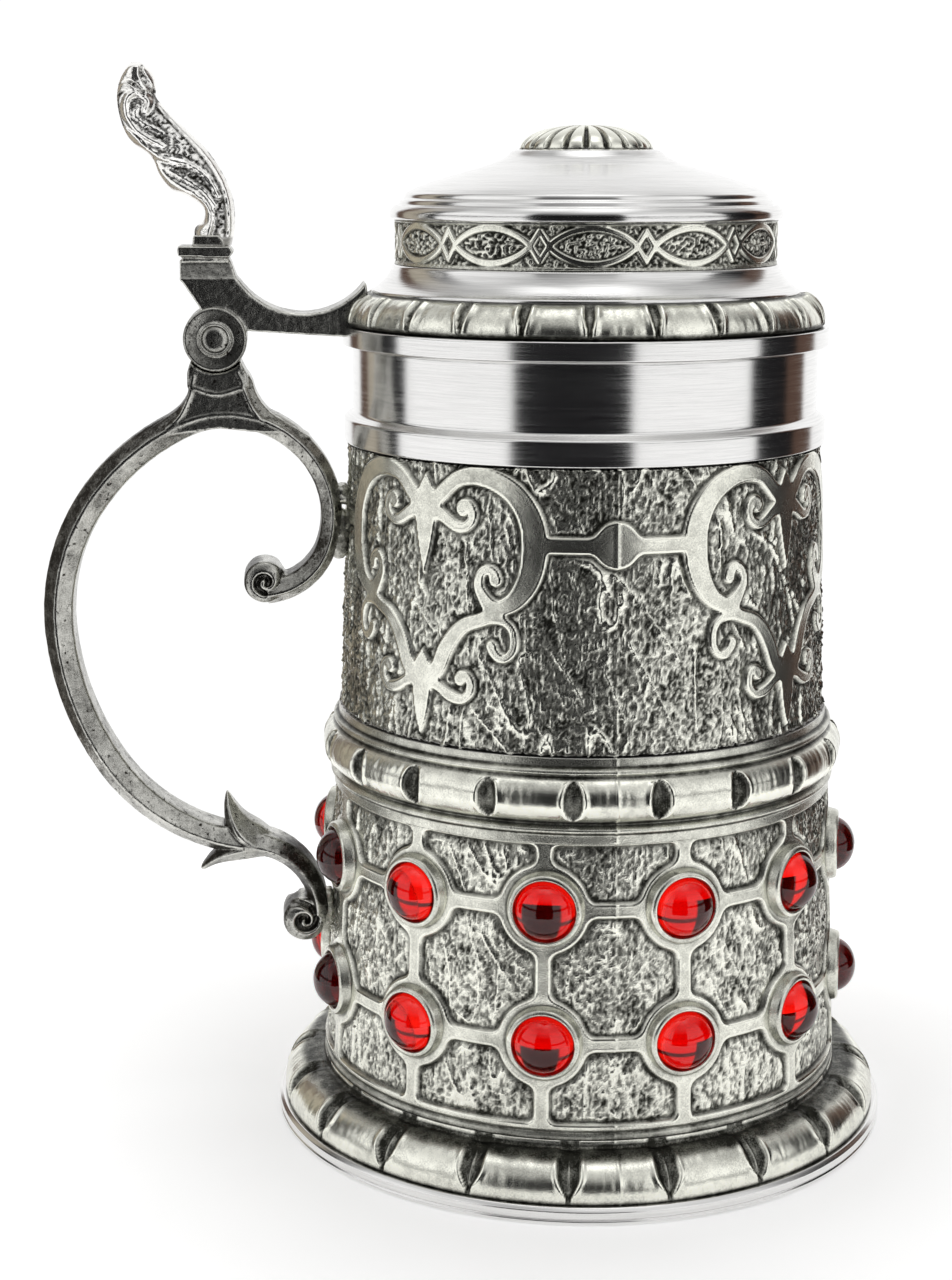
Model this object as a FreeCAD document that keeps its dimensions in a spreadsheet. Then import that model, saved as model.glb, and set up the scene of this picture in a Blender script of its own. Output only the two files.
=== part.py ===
import FreeCAD, Part
import math
import os
import re

import Sketcher
from FreeCAD import Placement, Rotation, Vector

# A lidded pewter tankard: a cast vessel ringed with glass cabochons, a C-scroll handle and a
# hinged lid with a thumbpiece.
#
# Frame: millimetres, +Z up. The origin is the centre of the foot's resting face. The handle
# points to -X and the vessel's front is -Y, so the hinge axis lies along Y.

DIMENSIONS = [
    # heights of the joints between the turned pieces, from the table up
    ("foot_plate_top", 2.8),
    ("foot_ring_top", 10.7),
    ("lower_barrel_top", 60.1),
    ("belt_top", 73.9),
    ("upper_barrel_top", 119.8),
    ("lip_top", 136.0),
    ("lid_bottom", 136.1),
    ("lid_rim_top", 139.2),
    ("gadroon_top", 144.7),
    ("flare_top", 149.4),
    ("frieze_top", 156.7),
    ("cap_top", 168.2),
    # radii of the vessel
    ("foot_radius", 54.2),
    ("foot_ring_radius", 53.0),
    ("foot_neck_radius", 46.2),
    ("lower_barrel_foot_radius", 45.8),
    ("lower_barrel_head_radius", 43.5),
    ("belt_radius", 43.4),
    ("upper_barrel_foot_radius", 42.5),
    ("upper_barrel_head_radius", 40.6),
    ("step_radius", 41.0),
    ("collar_radius", 39.5),
    ("wall", 2.4),
    ("floor_thickness", 2.0),
    # rounded mouldings: the radius of each profile arc and how many lobes it is cut into
    ("foot_cushion_arc", 5.9),
    ("foot_lobes", 20),
    ("bead_arc", 4.3),
    ("bead_half_height", 3.9),
    ("bead_lobes", 20),
    ("lid_cushion_arc", 5.2),
    ("lid_lobes", 24),
    ("flare_arc", 7.7),
    ("notch_radius", 0.7),
    ("vessel_notch_azimuth", 9.0),
    ("lid_notch_azimuth", 8.5),
    # radii of the lid
    ("lid_radius", 41.2),
    ("lid_flange_radius", 36.8),
    ("lid_cushion_radius", 40.7),
    ("flare_foot_radius", 36.2),
    ("frieze_radius", 32.3),
    ("cap_radius", 33.0),
    ("cap_cone_radius", 28.7),
    ("finial_ring_radius", 12.4),
    ("finial_radius", 11.2),
    ("finial_height", 4.0),
    ("lid_wall", 2.0),
    # cabochons and the bosses that hold them
    ("gems_per_row", 12),
    ("gem_radius", 4.8),
    ("gem_girdle", 1.2),
    ("gem_dome", 4.1),
    ("gem_upper_height", 49.3),
    ("gem_upper_seat", 43.2),
    ("gem_lower_height", 27.0),
    ("gem_lower_seat", 44.1),
    ("boss_radius", 6.2),
    ("boss_proud", 2.2),
    # handle and hinge
    ("strap_width", 9.4),
    ("strap_bevel", 2.2),
    ("volute_radius", 3.8),
    ("bracket_width", 10.8),
    ("hinge_across", -62.5),
    ("hinge_height", 137.3),
    ("knuckle_radius", 5.4),
    ("leaf_thickness", 2.0),
    ("leaf_gap", 0.2),
    ("pin_radius", 2.2),
    ("pin_clearance", 0.05),
    ("arm_width", 9.6),
    ("arm_scoop_radius", 13.0),
    ("block_top", 152.6),
    ("lug_width", 5.0),
    ("thumbpiece_width", 7.0),
]

# The handle's centre line leaves its upper volute here, at this heading in degrees above +X,
# and runs through tangent bends: radius (negative turns back), turn in degrees, and the
# strap's thickness at the bend's end.
HANDLE_START = Vector(-54.6, 0, 94.1)
HANDLE_HEADING = 2.5
HANDLE_START_THICKNESS = 4.6
HANDLE_BENDS = [
    (11.3, 66.5, 3.6),
    (16.7, 56.0, 3.8),
    (17.9, 80.0, 4.8),
    (38.5, 28.0, 5.2),
    (35.0, 41.0, 5.2),
    (49.6, 29.5, 5.2),
    (33.0, 50.5, 4.6),
    (-12.6, 86.0, 3.2),
]

LEAF_COUNT = 5
ALIAS = re.compile(r"[a-z][a-z_0-9]*")
FRONT_PLANE = "XZ_Plane"
doc = FreeCAD.newDocument("Tankard")
sheet = doc.addObject("Spreadsheet::Sheet", "Dims")


def fill_sheet():
    """Write every driving dimension to the sheet, one row each, with its alias."""
    for row, (alias, value) in enumerate(DIMENSIONS, start=1):
        sheet.set(f"A{row}", alias)
        sheet.set(f"B{row}", str(value))
        sheet.setAlias(f"B{row}", alias)
    doc.recompute()


def bound(expression):
    """The expression as another object of the document writes it."""
    return ALIAS.sub(r"Dims.\g<0>", expression)


def size(expression):
    """The expression's value."""
    return float(sheet.evalExpression(expression))


def origin_plane(body, role):
    for feature in body.Origin.OriginFeatures:
        if feature.Role == role:
            return feature
    raise KeyError(role)


def new_body(label):
    body = doc.addObject("PartDesign::Body", label)
    body.Label = label
    return body


# ---------------------------------------------------------------- profiles


def arc_between(start, end, radius, bulge):
    """A minor arc from start to end; bulge +1 swells to the right of travel, -1 to the left."""
    chord = end - start
    half = chord.Length / 2
    normal = Vector(chord.y, -chord.x, 0).normalize() * bulge
    sagitta = radius - math.sqrt(radius * radius - half * half)
    middle = (start + end) * 0.5 + normal * sagitta
    return Part.Arc(start, middle, end)


def edge_start(sketch, index, corner):
    """Which end of a sketch edge (1 or 2) lies on the corner."""
    return 1 if (sketch.getPoint(index, 1) - corner).Length < 1e-4 else 2


def constrain_corner(sketch, index, end, radius, height):
    """Hold a profile corner at its radius and height, each bound to the sheet."""
    for kind, axis, expression in (("DistanceX", -2, radius), ("DistanceY", -1, height)):
        value = size(expression)
        if value == 0:
            sketch.addConstraint(Sketcher.Constraint("PointOnObject", index, end, axis))
            continue
        number = sketch.addConstraint(Sketcher.Constraint(kind, -1, 1, index, end, value))
        sketch.setExpression(f"Constraints[{number}]", bound(expression))


def draw_profile(sketch, outline):
    """Draw a closed profile, counter-clockwise with radius to the right and height up.

    Each corner is (radius, height), and an arc leaves it when (arc radius, bulge) follows.
    """
    corners = [Vector(size(corner[0]), size(corner[1]), 0) for corner in outline]
    count = len(outline)
    for index, corner in enumerate(outline):
        start, end = corners[index], corners[(index + 1) % count]
        if len(corner) == 2:
            sketch.addGeometry(Part.LineSegment(start, end))
        else:
            sketch.addGeometry(arc_between(start, end, size(corner[2]), corner[3]))
    starts = [edge_start(sketch, index, corners[index]) for index in range(count)]
    for index, corner in enumerate(outline):
        before = index - 1 if index else count - 1
        sketch.addConstraint(
            Sketcher.Constraint("Coincident", before, 3 - starts[before], index, starts[index])
        )
        constrain_corner(sketch, index, starts[index], corner[0], corner[1])
        if len(corner) > 2:
            number = sketch.addConstraint(Sketcher.Constraint("Radius", index, size(corner[2])))
            sketch.setExpression(f"Constraints[{number}]", bound(corner[2]))


def turned_body(label, outline):
    """A piece turned about the vessel's axis from its profile."""
    body = new_body(label)
    sketch = body.newObject("Sketcher::SketchObject", f"{label}_profile")
    sketch.AttachmentSupport = [(origin_plane(body, FRONT_PLANE), "")]
    sketch.MapMode = "FlatFace"
    draw_profile(sketch, outline)
    turned = body.newObject("PartDesign::Revolution", f"{label}_turned")
    turned.Profile = sketch
    turned.ReferenceAxis = (sketch, ["V_Axis"])
    turned.Angle = 360
    return body


# ---------------------------------------------------------------- features on turned bodies


def repeat_round(body, feature, count_alias):
    """Repeat a feature round the vertical axis and make the pattern the body's tip."""
    doc.recompute()
    pattern = body.newObject("PartDesign::PolarPattern", f"{feature.Name}_round")
    pattern.Originals = [feature]
    pattern.Axis = (origin_plane(body, "Z_Axis"), [""])
    pattern.Angle = 360
    pattern.Occurrences = int(size(count_alias))
    pattern.setExpression("Occurrences", bound(count_alias))
    body.Tip = pattern


def place_feature(body, feature, position, direction):
    """Attach a primitive feature to the body's base plane, its axis along direction."""
    feature.AttachmentSupport = [(origin_plane(body, "XY_Plane"), "")]
    feature.MapMode = "FlatFace"
    feature.AttachmentOffset = Placement(position, Rotation(Vector(0, 0, 1), direction))


def cut_notches(body, foot, head, count_alias, azimuth_alias):
    """Score a moulding from its foot corner to its head corner, once between each lobe.

    The first notch stands at the azimuth, in degrees round from +X.
    """
    turn = Rotation(Vector(0, 0, 1), size(azimuth_alias))
    start = turn.multVec(Vector(size(foot[0]), 0, size(foot[1])))
    end = turn.multVec(Vector(size(head[0]), 0, size(head[1])))
    along = (end - start).normalize()
    run_out = size("notch_radius") * 2
    notch = body.newObject("PartDesign::SubtractiveCylinder", f"{body.Name}_notch")
    notch.setExpression("Radius", bound("notch_radius"))
    notch.Height = (end - start).Length + 2 * run_out
    place_feature(body, notch, start - along * run_out, along)
    repeat_round(body, notch, count_alias)


def radial_placement(seat, height, azimuth):
    """Origin on the seat's radius with the local Z axis pointing outwards."""
    outward = Vector(math.cos(math.radians(azimuth)), math.sin(math.radians(azimuth)), 0)
    return Placement(outward * seat + Vector(0, 0, height), Rotation(Vector(0, 0, 1), outward))


def gem_azimuths():
    """Azimuths of a row of gems; the first pair stands either side of the handle."""
    step = 360 / size("gems_per_row")
    return [180 + step * (index + 0.5) for index in range(int(size("gems_per_row")))]


def add_bosses(body, row):
    """Raise one row of round bosses on the barrel and sink a seat for a gem in each."""
    height = size(f"gem_{row}_height")
    seat = size(f"gem_{row}_seat")
    outward = radial_placement(seat, height, gem_azimuths()[0])
    direction = outward.Rotation.multVec(Vector(0, 0, 1))
    boss = body.newObject("PartDesign::AdditiveCylinder", f"boss_{row}")
    boss.setExpression("Radius", bound("boss_radius"))
    boss.setExpression("Height", bound("boss_proud + gem_girdle"))
    place_feature(body, boss, outward.Base - direction * size("gem_girdle"), direction)
    repeat_round(body, boss, "gems_per_row")
    cup = body.newObject("PartDesign::SubtractiveCylinder", f"cup_{row}")
    cup.setExpression("Radius", bound("gem_radius"))
    cup.setExpression("Height", bound("boss_proud + gem_girdle"))
    place_feature(body, cup, outward.Base, direction)
    repeat_round(body, cup, "gems_per_row")


# ---------------------------------------------------------------- vessel


def make_foot_plate():
    return turned_body(
        "foot_plate",
        [
            ("foot_neck_radius - wall", "0"),
            ("foot_radius", "0"),
            ("foot_radius", "foot_plate_top - 0.6"),
            ("foot_radius - 0.6", "foot_plate_top"),
            ("foot_neck_radius - wall", "foot_plate_top"),
        ],
    )


def make_foot_ring():
    body = turned_body(
        "foot_ring",
        [
            ("foot_ring_radius - 3", "foot_plate_top"),
            ("foot_ring_radius", "foot_plate_top", "foot_cushion_arc", 1),
            ("foot_neck_radius", "foot_ring_top - 1.2"),
            ("lower_barrel_foot_radius", "foot_ring_top - 0.8"),
            ("lower_barrel_foot_radius", "foot_ring_top"),
            ("lower_barrel_foot_radius - 4.4", "foot_ring_top"),
            ("lower_barrel_foot_radius - 4.4", "foot_ring_top - 2.2"),
            ("foot_neck_radius - 2", "foot_ring_top - 3"),
        ],
    )
    cut_notches(
        body,
        ("foot_ring_radius + 1.5", "foot_plate_top + 2.2"),
        ("foot_neck_radius + 1.8", "foot_ring_top + 0.3"),
        "foot_lobes",
        "vessel_notch_azimuth",
    )
    return body


def make_floor_disc():
    return turned_body(
        "floor_disc",
        [
            ("0", "foot_ring_top"),
            ("lower_barrel_foot_radius - wall - 0.2", "foot_ring_top"),
            ("lower_barrel_foot_radius - wall - 0.2", "foot_ring_top + floor_thickness"),
            ("0", "foot_ring_top + floor_thickness"),
        ],
    )


def make_lower_barrel():
    body = turned_body(
        "lower_barrel",
        [
            ("lower_barrel_foot_radius - wall", "foot_ring_top"),
            ("lower_barrel_foot_radius", "foot_ring_top"),
            ("lower_barrel_head_radius", "lower_barrel_top"),
            ("lower_barrel_head_radius - wall", "lower_barrel_top"),
        ],
    )
    add_bosses(body, "upper")
    add_bosses(body, "lower")
    return body


def make_belt_ring():
    centre = "(lower_barrel_top + belt_top) / 2 + 0.3"
    body = turned_body(
        "belt_ring",
        [
            ("lower_barrel_head_radius - wall", "lower_barrel_top"),
            ("lower_barrel_head_radius", "lower_barrel_top"),
            ("lower_barrel_head_radius + 0.5", f"{centre} - bead_half_height - 1.3"),
            ("belt_radius - 0.4", f"{centre} - bead_half_height - 0.5"),
            ("belt_radius", f"{centre} - bead_half_height", "bead_arc", 1),
            ("belt_radius", f"{centre} + bead_half_height"),
            ("upper_barrel_foot_radius", "belt_top - 2.2"),
            ("upper_barrel_foot_radius + 0.4", "belt_top - 1.6"),
            ("upper_barrel_foot_radius", "belt_top"),
            ("upper_barrel_foot_radius - wall", "belt_top"),
        ],
    )
    cut_notches(
        body,
        ("belt_radius + 2.4", f"{centre} - bead_half_height + 1"),
        ("belt_radius + 2.4", f"{centre} + bead_half_height - 1"),
        "bead_lobes",
        "vessel_notch_azimuth",
    )
    return body


def make_upper_barrel():
    return turned_body(
        "upper_barrel",
        [
            ("upper_barrel_foot_radius - wall", "belt_top"),
            ("upper_barrel_foot_radius", "belt_top"),
            ("upper_barrel_head_radius", "upper_barrel_top"),
            ("upper_barrel_head_radius - wall", "upper_barrel_top"),
        ],
    )


def make_lip_collar():
    return turned_body(
        "lip_collar",
        [
            ("upper_barrel_head_radius - wall", "upper_barrel_top"),
            ("step_radius", "upper_barrel_top"),
            ("step_radius", "upper_barrel_top + 4"),
            ("collar_radius", "upper_barrel_top + 4.9"),
            ("collar_radius", "lip_top - 0.5"),
            ("collar_radius - 0.5", "lip_top"),
            ("collar_radius - wall", "lip_top"),
        ],
    )


def make_gem(row, number, azimuth):
    """A cabochon: a short girdle in the boss's cup and a high dome above it."""
    body = new_body(f"gem_{row}_{number:02d}")
    girdle = body.newObject("PartDesign::AdditiveCylinder", f"{body.Name}_girdle")
    girdle.setExpression("Radius", bound("gem_radius"))
    girdle.setExpression("Height", bound("gem_girdle"))
    place_feature(body, girdle, Vector(0, 0, 0), Vector(0, 0, 1))
    dome = body.newObject("PartDesign::AdditiveEllipsoid", f"{body.Name}_dome")
    dome.setExpression("Radius1", bound("gem_dome"))
    dome.setExpression("Radius2", bound("gem_radius"))
    dome.setExpression("Radius3", bound("gem_radius"))
    dome.Angle1 = 0
    dome.Angle2 = 90
    place_feature(body, dome, Vector(0, 0, size("gem_girdle")), Vector(0, 0, 1))
    body.Placement = radial_placement(size(f"gem_{row}_seat"), size(f"gem_{row}_height"), azimuth)
    return body


def make_gems():
    return [
        make_gem(row, number, azimuth)
        for row in ("upper", "lower")
        for number, azimuth in enumerate(gem_azimuths(), start=1)
    ]


# ---------------------------------------------------------------- lid


def make_lid_rim():
    """The skirt that rests on the lip, with a flange that drops inside the mouth."""
    return turned_body(
        "lid_rim",
        [
            ("lid_flange_radius - 1.6", "lid_bottom - 1.2"),
            ("lid_flange_radius", "lid_bottom - 1.2"),
            ("lid_flange_radius", "lid_bottom"),
            ("lid_radius - 0.3", "lid_bottom"),
            ("lid_radius", "lid_bottom + 0.3"),
            ("lid_radius", "lid_rim_top - 0.3"),
            ("lid_radius - 0.3", "lid_rim_top"),
            ("lid_flange_radius - 1.6", "lid_rim_top"),
        ],
    )


def cushion_outline():
    return [
        ("lid_cushion_radius - 2.9", "lid_rim_top"),
        ("lid_cushion_radius - 0.5", "lid_rim_top"),
        ("lid_cushion_radius", "lid_rim_top + 0.6", "lid_cushion_arc", 1),
        ("flare_foot_radius + 0.4", "gadroon_top"),
        ("flare_foot_radius - lid_wall", "gadroon_top"),
    ]


def make_lid_gadroon_ring():
    body = turned_body("lid_gadroon_ring", cushion_outline())
    cut_notches(
        body,
        ("lid_cushion_radius + 0.9", "lid_rim_top + 1.6"),
        ("flare_foot_radius + 1.3", "gadroon_top + 0.2"),
        "lid_lobes",
        "lid_notch_azimuth",
    )
    return body


def make_lid_flare():
    return turned_body(
        "lid_flare",
        [
            ("flare_foot_radius - lid_wall", "gadroon_top"),
            ("flare_foot_radius", "gadroon_top"),
            ("flare_foot_radius", "gadroon_top + 0.4", "flare_arc", -1),
            ("frieze_radius", "flare_top"),
            ("frieze_radius - lid_wall", "flare_top"),
        ],
    )


def make_frieze_band():
    return turned_body(
        "frieze_band",
        [
            ("frieze_radius - lid_wall", "flare_top"),
            ("frieze_radius", "flare_top"),
            ("frieze_radius", "frieze_top"),
            ("frieze_radius - lid_wall", "frieze_top"),
        ],
    )


def make_lid_cap():
    return turned_body(
        "lid_cap",
        [
            ("0", "cap_top - lid_wall"),
            ("finial_ring_radius", "cap_top - lid_wall - 1"),
            ("cap_cone_radius - 1", "frieze_top + 3.2"),
            ("frieze_radius - lid_wall", "frieze_top"),
            ("frieze_radius", "frieze_top"),
            ("cap_radius", "frieze_top + 0.5"),
            ("cap_radius", "frieze_top + 1.7"),
            ("cap_radius - 0.8", "frieze_top + 2.4"),
            ("cap_radius - 2", "frieze_top + 2.6"),
            ("cap_radius - 2.2", "frieze_top + 3.5"),
            ("cap_cone_radius", "frieze_top + 5.2"),
            ("finial_ring_radius + 1.1", "cap_top - 1.3"),
            ("finial_ring_radius", "cap_top"),
            ("0", "cap_top"),
        ],
    )


def make_finial():
    body = new_body("finial")
    dome = body.newObject("PartDesign::AdditiveEllipsoid", "finial_dome")
    dome.setExpression("Radius1", bound("finial_height"))
    dome.setExpression("Radius2", bound("finial_radius"))
    dome.setExpression("Radius3", bound("finial_radius"))
    dome.Angle1 = 0
    dome.Angle2 = 90
    place_feature(body, dome, Vector(0, 0, 0), Vector(0, 0, 1))
    body.setExpression("Placement.Base.z", bound("cap_top"))
    return body


# ---------------------------------------------------------------- handle and hinge


def across(point, offset):
    """The point moved along the hinge axis."""
    return Vector(point.x, offset, point.z)


def slab(wire, width):
    """A planar closed wire in the XZ plane, thickened evenly to both sides of it."""
    face = Part.makeFace([wire], "Part::FaceMakerBullseye")
    face.translate(Vector(0, -width / 2, 0))
    return face.extrude(Vector(0, width, 0))


def disc(centre, radius, low, high):
    """A cylinder along the hinge axis between two offsets."""
    return Part.makeCylinder(radius, high - low, across(centre, low), Vector(0, 1, 0))


def hinge_point():
    return Vector(size("hinge_across"), 0, size("hinge_height"))


def strap_stations():
    """Points of the strap's centre line: (position, heading, half thickness)."""
    position = HANDLE_START
    heading = math.radians(HANDLE_HEADING)
    thickness = HANDLE_START_THICKNESS
    stations = [(position, heading, thickness / 2)]
    for radius, turn, end_thickness in HANDLE_BENDS:
        steps = max(2, round(turn / 15))
        side = math.copysign(1, radius)
        for step in range(1, steps + 1):
            turned = side * math.radians(turn) / steps
            chord = 2 * abs(radius) * math.sin(abs(turned) / 2)
            middle = heading + turned / 2
            position = position + Vector(math.cos(middle), 0, math.sin(middle)) * chord
            heading += turned
            grown = thickness + (end_thickness - thickness) * step / steps
            stations.append((position, heading, grown / 2))
        thickness = end_thickness
    return stations


def strap_wire(stations, share, offset):
    """The strap's outline at an offset from its middle, with that share of its thickness."""
    left, right = [], []
    for position, heading, half in stations:
        normal = Vector(-math.sin(heading), 0, math.cos(heading)) * half * share
        left.append(across(position + normal, offset))
        right.append(across(position - normal, offset))
    curves = []
    for side in (left, right[::-1]):
        curve = Part.BSplineCurve()
        curve.interpolate(side)
        curves.append(curve.toShape())
    caps = [
        Part.makeLine(left[-1], right[-1]),
        Part.makeLine(right[0], left[0]),
    ]
    return Part.Wire([curves[0], caps[0], curves[1], caps[1]])


def strap_solid(stations):
    """The bevelled C-scroll strap."""
    half = size("strap_width") / 2
    bevel = size("strap_bevel")
    wires = [
        strap_wire(stations, 0.3, -half),
        strap_wire(stations, 1.0, bevel - half),
        strap_wire(stations, 1.0, half - bevel),
        strap_wire(stations, 0.3, half),
    ]
    return Part.makeLoft(wires, True, True)


def volute(stations, end, side):
    """A round scroll end, on one side of the centre line's first or last point."""
    position, heading, half = stations[end]
    radius = size("volute_radius")
    normal = Vector(-math.sin(heading), 0, math.cos(heading)) * side
    centre = position + normal * (radius - half)
    reach = size("strap_width") / 2
    return disc(centre, radius, -reach, reach)


def thorn_solid():
    """The thorn that stands across the strap's lower bend."""
    tip_up = Vector(-62.3, 0, 58.2)
    tip_down = Vector(-67.2, 0, 44.2)
    strap_left = Vector(-66.2, 0, 52.2)
    strap_right = Vector(-57.6, 0, 50.8)
    under_left = Vector(-65.6, 0, 48.6)
    under_right = Vector(-58.6, 0, 47.2)
    edges = [
        Part.Arc(strap_left, Vector(-63.6, 0, 54.0), tip_up).toShape(),
        Part.Arc(tip_up, Vector(-60.9, 0, 53.4), strap_right).toShape(),
        Part.makeLine(strap_right, under_right),
        Part.Arc(under_right, Vector(-63.6, 0, 46.2), tip_down).toShape(),
        Part.Arc(tip_down, Vector(-65.4, 0, 46.4), under_left).toShape(),
        Part.makeLine(under_left, strap_left),
    ]
    return slab(Part.Wire(edges), size("strap_width") - 1)


def bracket_solid():
    """The gusset that rises from the strap's crown to the hinge."""
    foot_left = Vector(-77.0, 0, 119.2)
    foot_right = Vector(-48.5, 0, 119.6)
    waist_left = Vector(-67.4, 0, 130.5)
    waist_right = Vector(-56.8, 0, 130.5)
    crown = Vector(-62.0, 0, 123.4)
    head_left = Vector(-66.6, 0, 132.4)
    head_right = Vector(-57.6, 0, 133.8)
    edges = [
        Part.Arc(foot_left, Vector(-69.9, 0, 124.6), waist_left).toShape(),
        Part.makeLine(waist_left, head_left),
        Part.makeLine(head_left, head_right),
        Part.makeLine(head_right, waist_right),
        Part.Arc(waist_right, Vector(-54.6, 0, 125.0), foot_right).toShape(),
        Part.Arc(foot_right, crown, foot_left).toShape(),
    ]
    return slab(Part.Wire(edges), size("strap_width"))


def leaf_spans():
    """The five hinge leaves' offsets, front to back; the lid owns the odd ones."""
    thickness = size("leaf_thickness")
    pitch = thickness + size("leaf_gap")
    first = -size("bracket_width") / 2
    fronts = [first + pitch * index for index in range(LEAF_COUNT)]
    return [(front, front + thickness) for front in fronts]


def clear_leaves(shape, spans):
    """Cut room for the other half's leaves, with the leaf gap all round."""
    gap = size("leaf_gap")
    for low, high in spans:
        shape = shape.cut(disc(hinge_point(), size("knuckle_radius") + gap, low - gap, high + gap))
    return shape


def add_leaves(shape, spans):
    for low, high in spans:
        shape = shape.fuse(disc(hinge_point(), size("knuckle_radius"), low, high))
    return shape


def shape_feature(label, shape):
    feature = doc.addObject("Part::Feature", label)
    feature.Label = label
    feature.Shape = shape.removeSplitter()
    return feature


def make_handle(barrel_envelope):
    """The handle casting: strap, volutes, thorn, gusset and its two hinge leaves."""
    stations = strap_stations()
    spans = leaf_spans()
    shape = strap_solid(stations).fuse([thorn_solid(), bracket_solid()])
    shape = clear_leaves(shape, spans[0::2])
    shape = add_leaves(shape, spans[1::2])
    shape = shape.fuse([volute(stations, 0, 1), volute(stations, -1, -1)])
    half = size("bracket_width") / 2
    shape = shape.cut(disc(hinge_point(), size("pin_radius"), -half, half))
    return shape_feature("handle", shape.cut(barrel_envelope))


def make_lug(label, low, high, reach, handle_shape, barrel_envelope):
    """A bead of solder that fills the gap between strap and barrel over a height."""
    width = size("lug_width")
    block = Part.makeBox(6, width, high - low, Vector(-reach - 3.5, -width / 2, low))
    shape = block.cut(handle_shape).cut(barrel_envelope)
    pieces = sorted(shape.Solids, key=lambda solid: solid.CenterOfMass.x)
    return shape_feature(label, pieces[-1])


def make_hinge_pin():
    low, high = leaf_spans()[0][0], leaf_spans()[-1][1]
    return shape_feature("hinge_pin", disc(hinge_point(), size("pin_radius"), low, high))


def arm_wire():
    """Side outline of the lid arm: a block over the hinge and a scooped arm to the lid."""
    block_left, block_right = -68.2, -59.6
    block_top = size("block_top")
    scoop_centre = Vector(-47.6, 0, 154.5)
    scoop = size("arm_scoop_radius")
    scoop_low = scoop_centre - Vector(0, 0, scoop)
    drop = math.sqrt(scoop**2 - (block_right - scoop_centre.x) ** 2)
    scoop_left = Vector(block_right, 0, scoop_centre.z - drop)
    leaf_tip = Vector(-37.4, 0, 146.4)
    corners = [
        leaf_tip,
        Vector(-36.5, 0, 144.9),
        Vector(-38.0, 0, 137.2),
        Vector(-57.8, 0, 138.6),
        hinge_point(),
        Vector(-65.0, 0, 142.7),
        Vector(block_left, 0, 147.3),
        Vector(block_left, 0, block_top),
        Vector(block_right, 0, block_top),
        scoop_left,
    ]
    edges = [Part.makeLine(a, b) for a, b in zip(corners, corners[1:])]
    edges.append(Part.Arc(scoop_left, scoop_low, leaf_tip).toShape())
    return Part.Wire(edges)


def make_lid_arm(lid_envelope):
    """The lid's half of the hinge: three leaves, the block and the arm soldered to the lid."""
    spans = leaf_spans()
    shape = slab(arm_wire(), size("arm_width"))
    shape = clear_leaves(shape, spans[1::2])
    shape = add_leaves(shape, spans[0::2])
    bore = size("pin_radius + pin_clearance")
    half = size("bracket_width") / 2
    shape = shape.cut(disc(hinge_point(), bore, -half, half))
    return shape_feature("lid_arm", shape.cut(lid_envelope))


def make_thumbpiece():
    """The leaf-scroll thumb lift that stands on the arm's block."""
    block_top = size("block_top")
    front = [
        (-59.7, 154.6),
        (-58.9, 158.5),
        (-60.6, 164.2),
        (-64.6, 169.6),
        (-70.2, 176.2),
        (-71.6, 180.2),
    ]
    back = [
        (-75.4, 182.2),
        (-77.7, 176.6),
        (-75.2, 169.0),
        (-69.8, 161.9),
        (-64.2, 158.2),
        (-65.3, 154.6),
    ]
    outline = Part.BSplineCurve()
    outline.interpolate([Vector(x, 0, z) for x, z in front + back])
    start, end = outline.StartPoint, outline.EndPoint
    foot_left = Vector(end.x, 0, block_top)
    foot_right = Vector(start.x, 0, block_top)
    edges = [
        outline.toShape(),
        Part.makeLine(end, foot_left),
        Part.makeLine(foot_left, foot_right),
        Part.makeLine(foot_right, start),
    ]
    return shape_feature("thumbpiece", slab(Part.Wire(edges), size("thumbpiece_width")))


# ---------------------------------------------------------------- envelopes


def solid_of(outline):
    """The solid that a profile sweeps about the vertical axis."""
    corners = [Vector(radius, 0, height) for radius, height in outline]
    return Part.Face(Part.makePolygon(corners + corners[:1])).revolve(
        Vector(0, 0, 0), Vector(0, 0, 1), 360
    )


def make_barrel_envelope():
    """Everything inside the plain outer surface of both barrels."""
    return solid_of(
        [
            (0, size("foot_ring_top")),
            (size("lower_barrel_foot_radius"), size("foot_ring_top")),
            (size("lower_barrel_head_radius"), size("lower_barrel_top")),
            (size("upper_barrel_foot_radius"), size("belt_top")),
            (size("upper_barrel_head_radius"), size("upper_barrel_top")),
            (0, size("upper_barrel_top")),
        ]
    )


def make_lid_envelope():
    """Everything inside the lid's rim and its uncut cushion."""
    rim_top = size("lid_rim_top")
    rim = solid_of(
        [
            (0, size("lid_bottom")),
            (size("lid_radius"), size("lid_bottom")),
            (size("lid_radius"), rim_top),
            (0, rim_top),
        ]
    )
    start = Vector(size("lid_cushion_radius"), rim_top + 0.6, 0)
    end = Vector(size("flare_foot_radius + 0.4"), size("gadroon_top"), 0)
    arc = arc_between(start, end, size("lid_cushion_arc"), 1).toShape()
    arc.rotate(Vector(0, 0, 0), Vector(1, 0, 0), 90)
    low, high = arc.Vertexes[0].Point, arc.Vertexes[-1].Point
    foot = Vector(low.x, 0, rim_top)
    axis_high = Vector(0, 0, high.z)
    axis_low = Vector(0, 0, rim_top)
    outline = [
        Part.makeLine(foot, low),
        arc,
        Part.makeLine(high, axis_high),
        Part.makeLine(axis_high, axis_low),
        Part.makeLine(axis_low, foot),
    ]
    cushion = Part.Face(Part.Wire(outline))
    return rim.fuse(cushion.revolve(Vector(0, 0, 0), Vector(0, 0, 1), 360))


# ---------------------------------------------------------------- whole object


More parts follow.
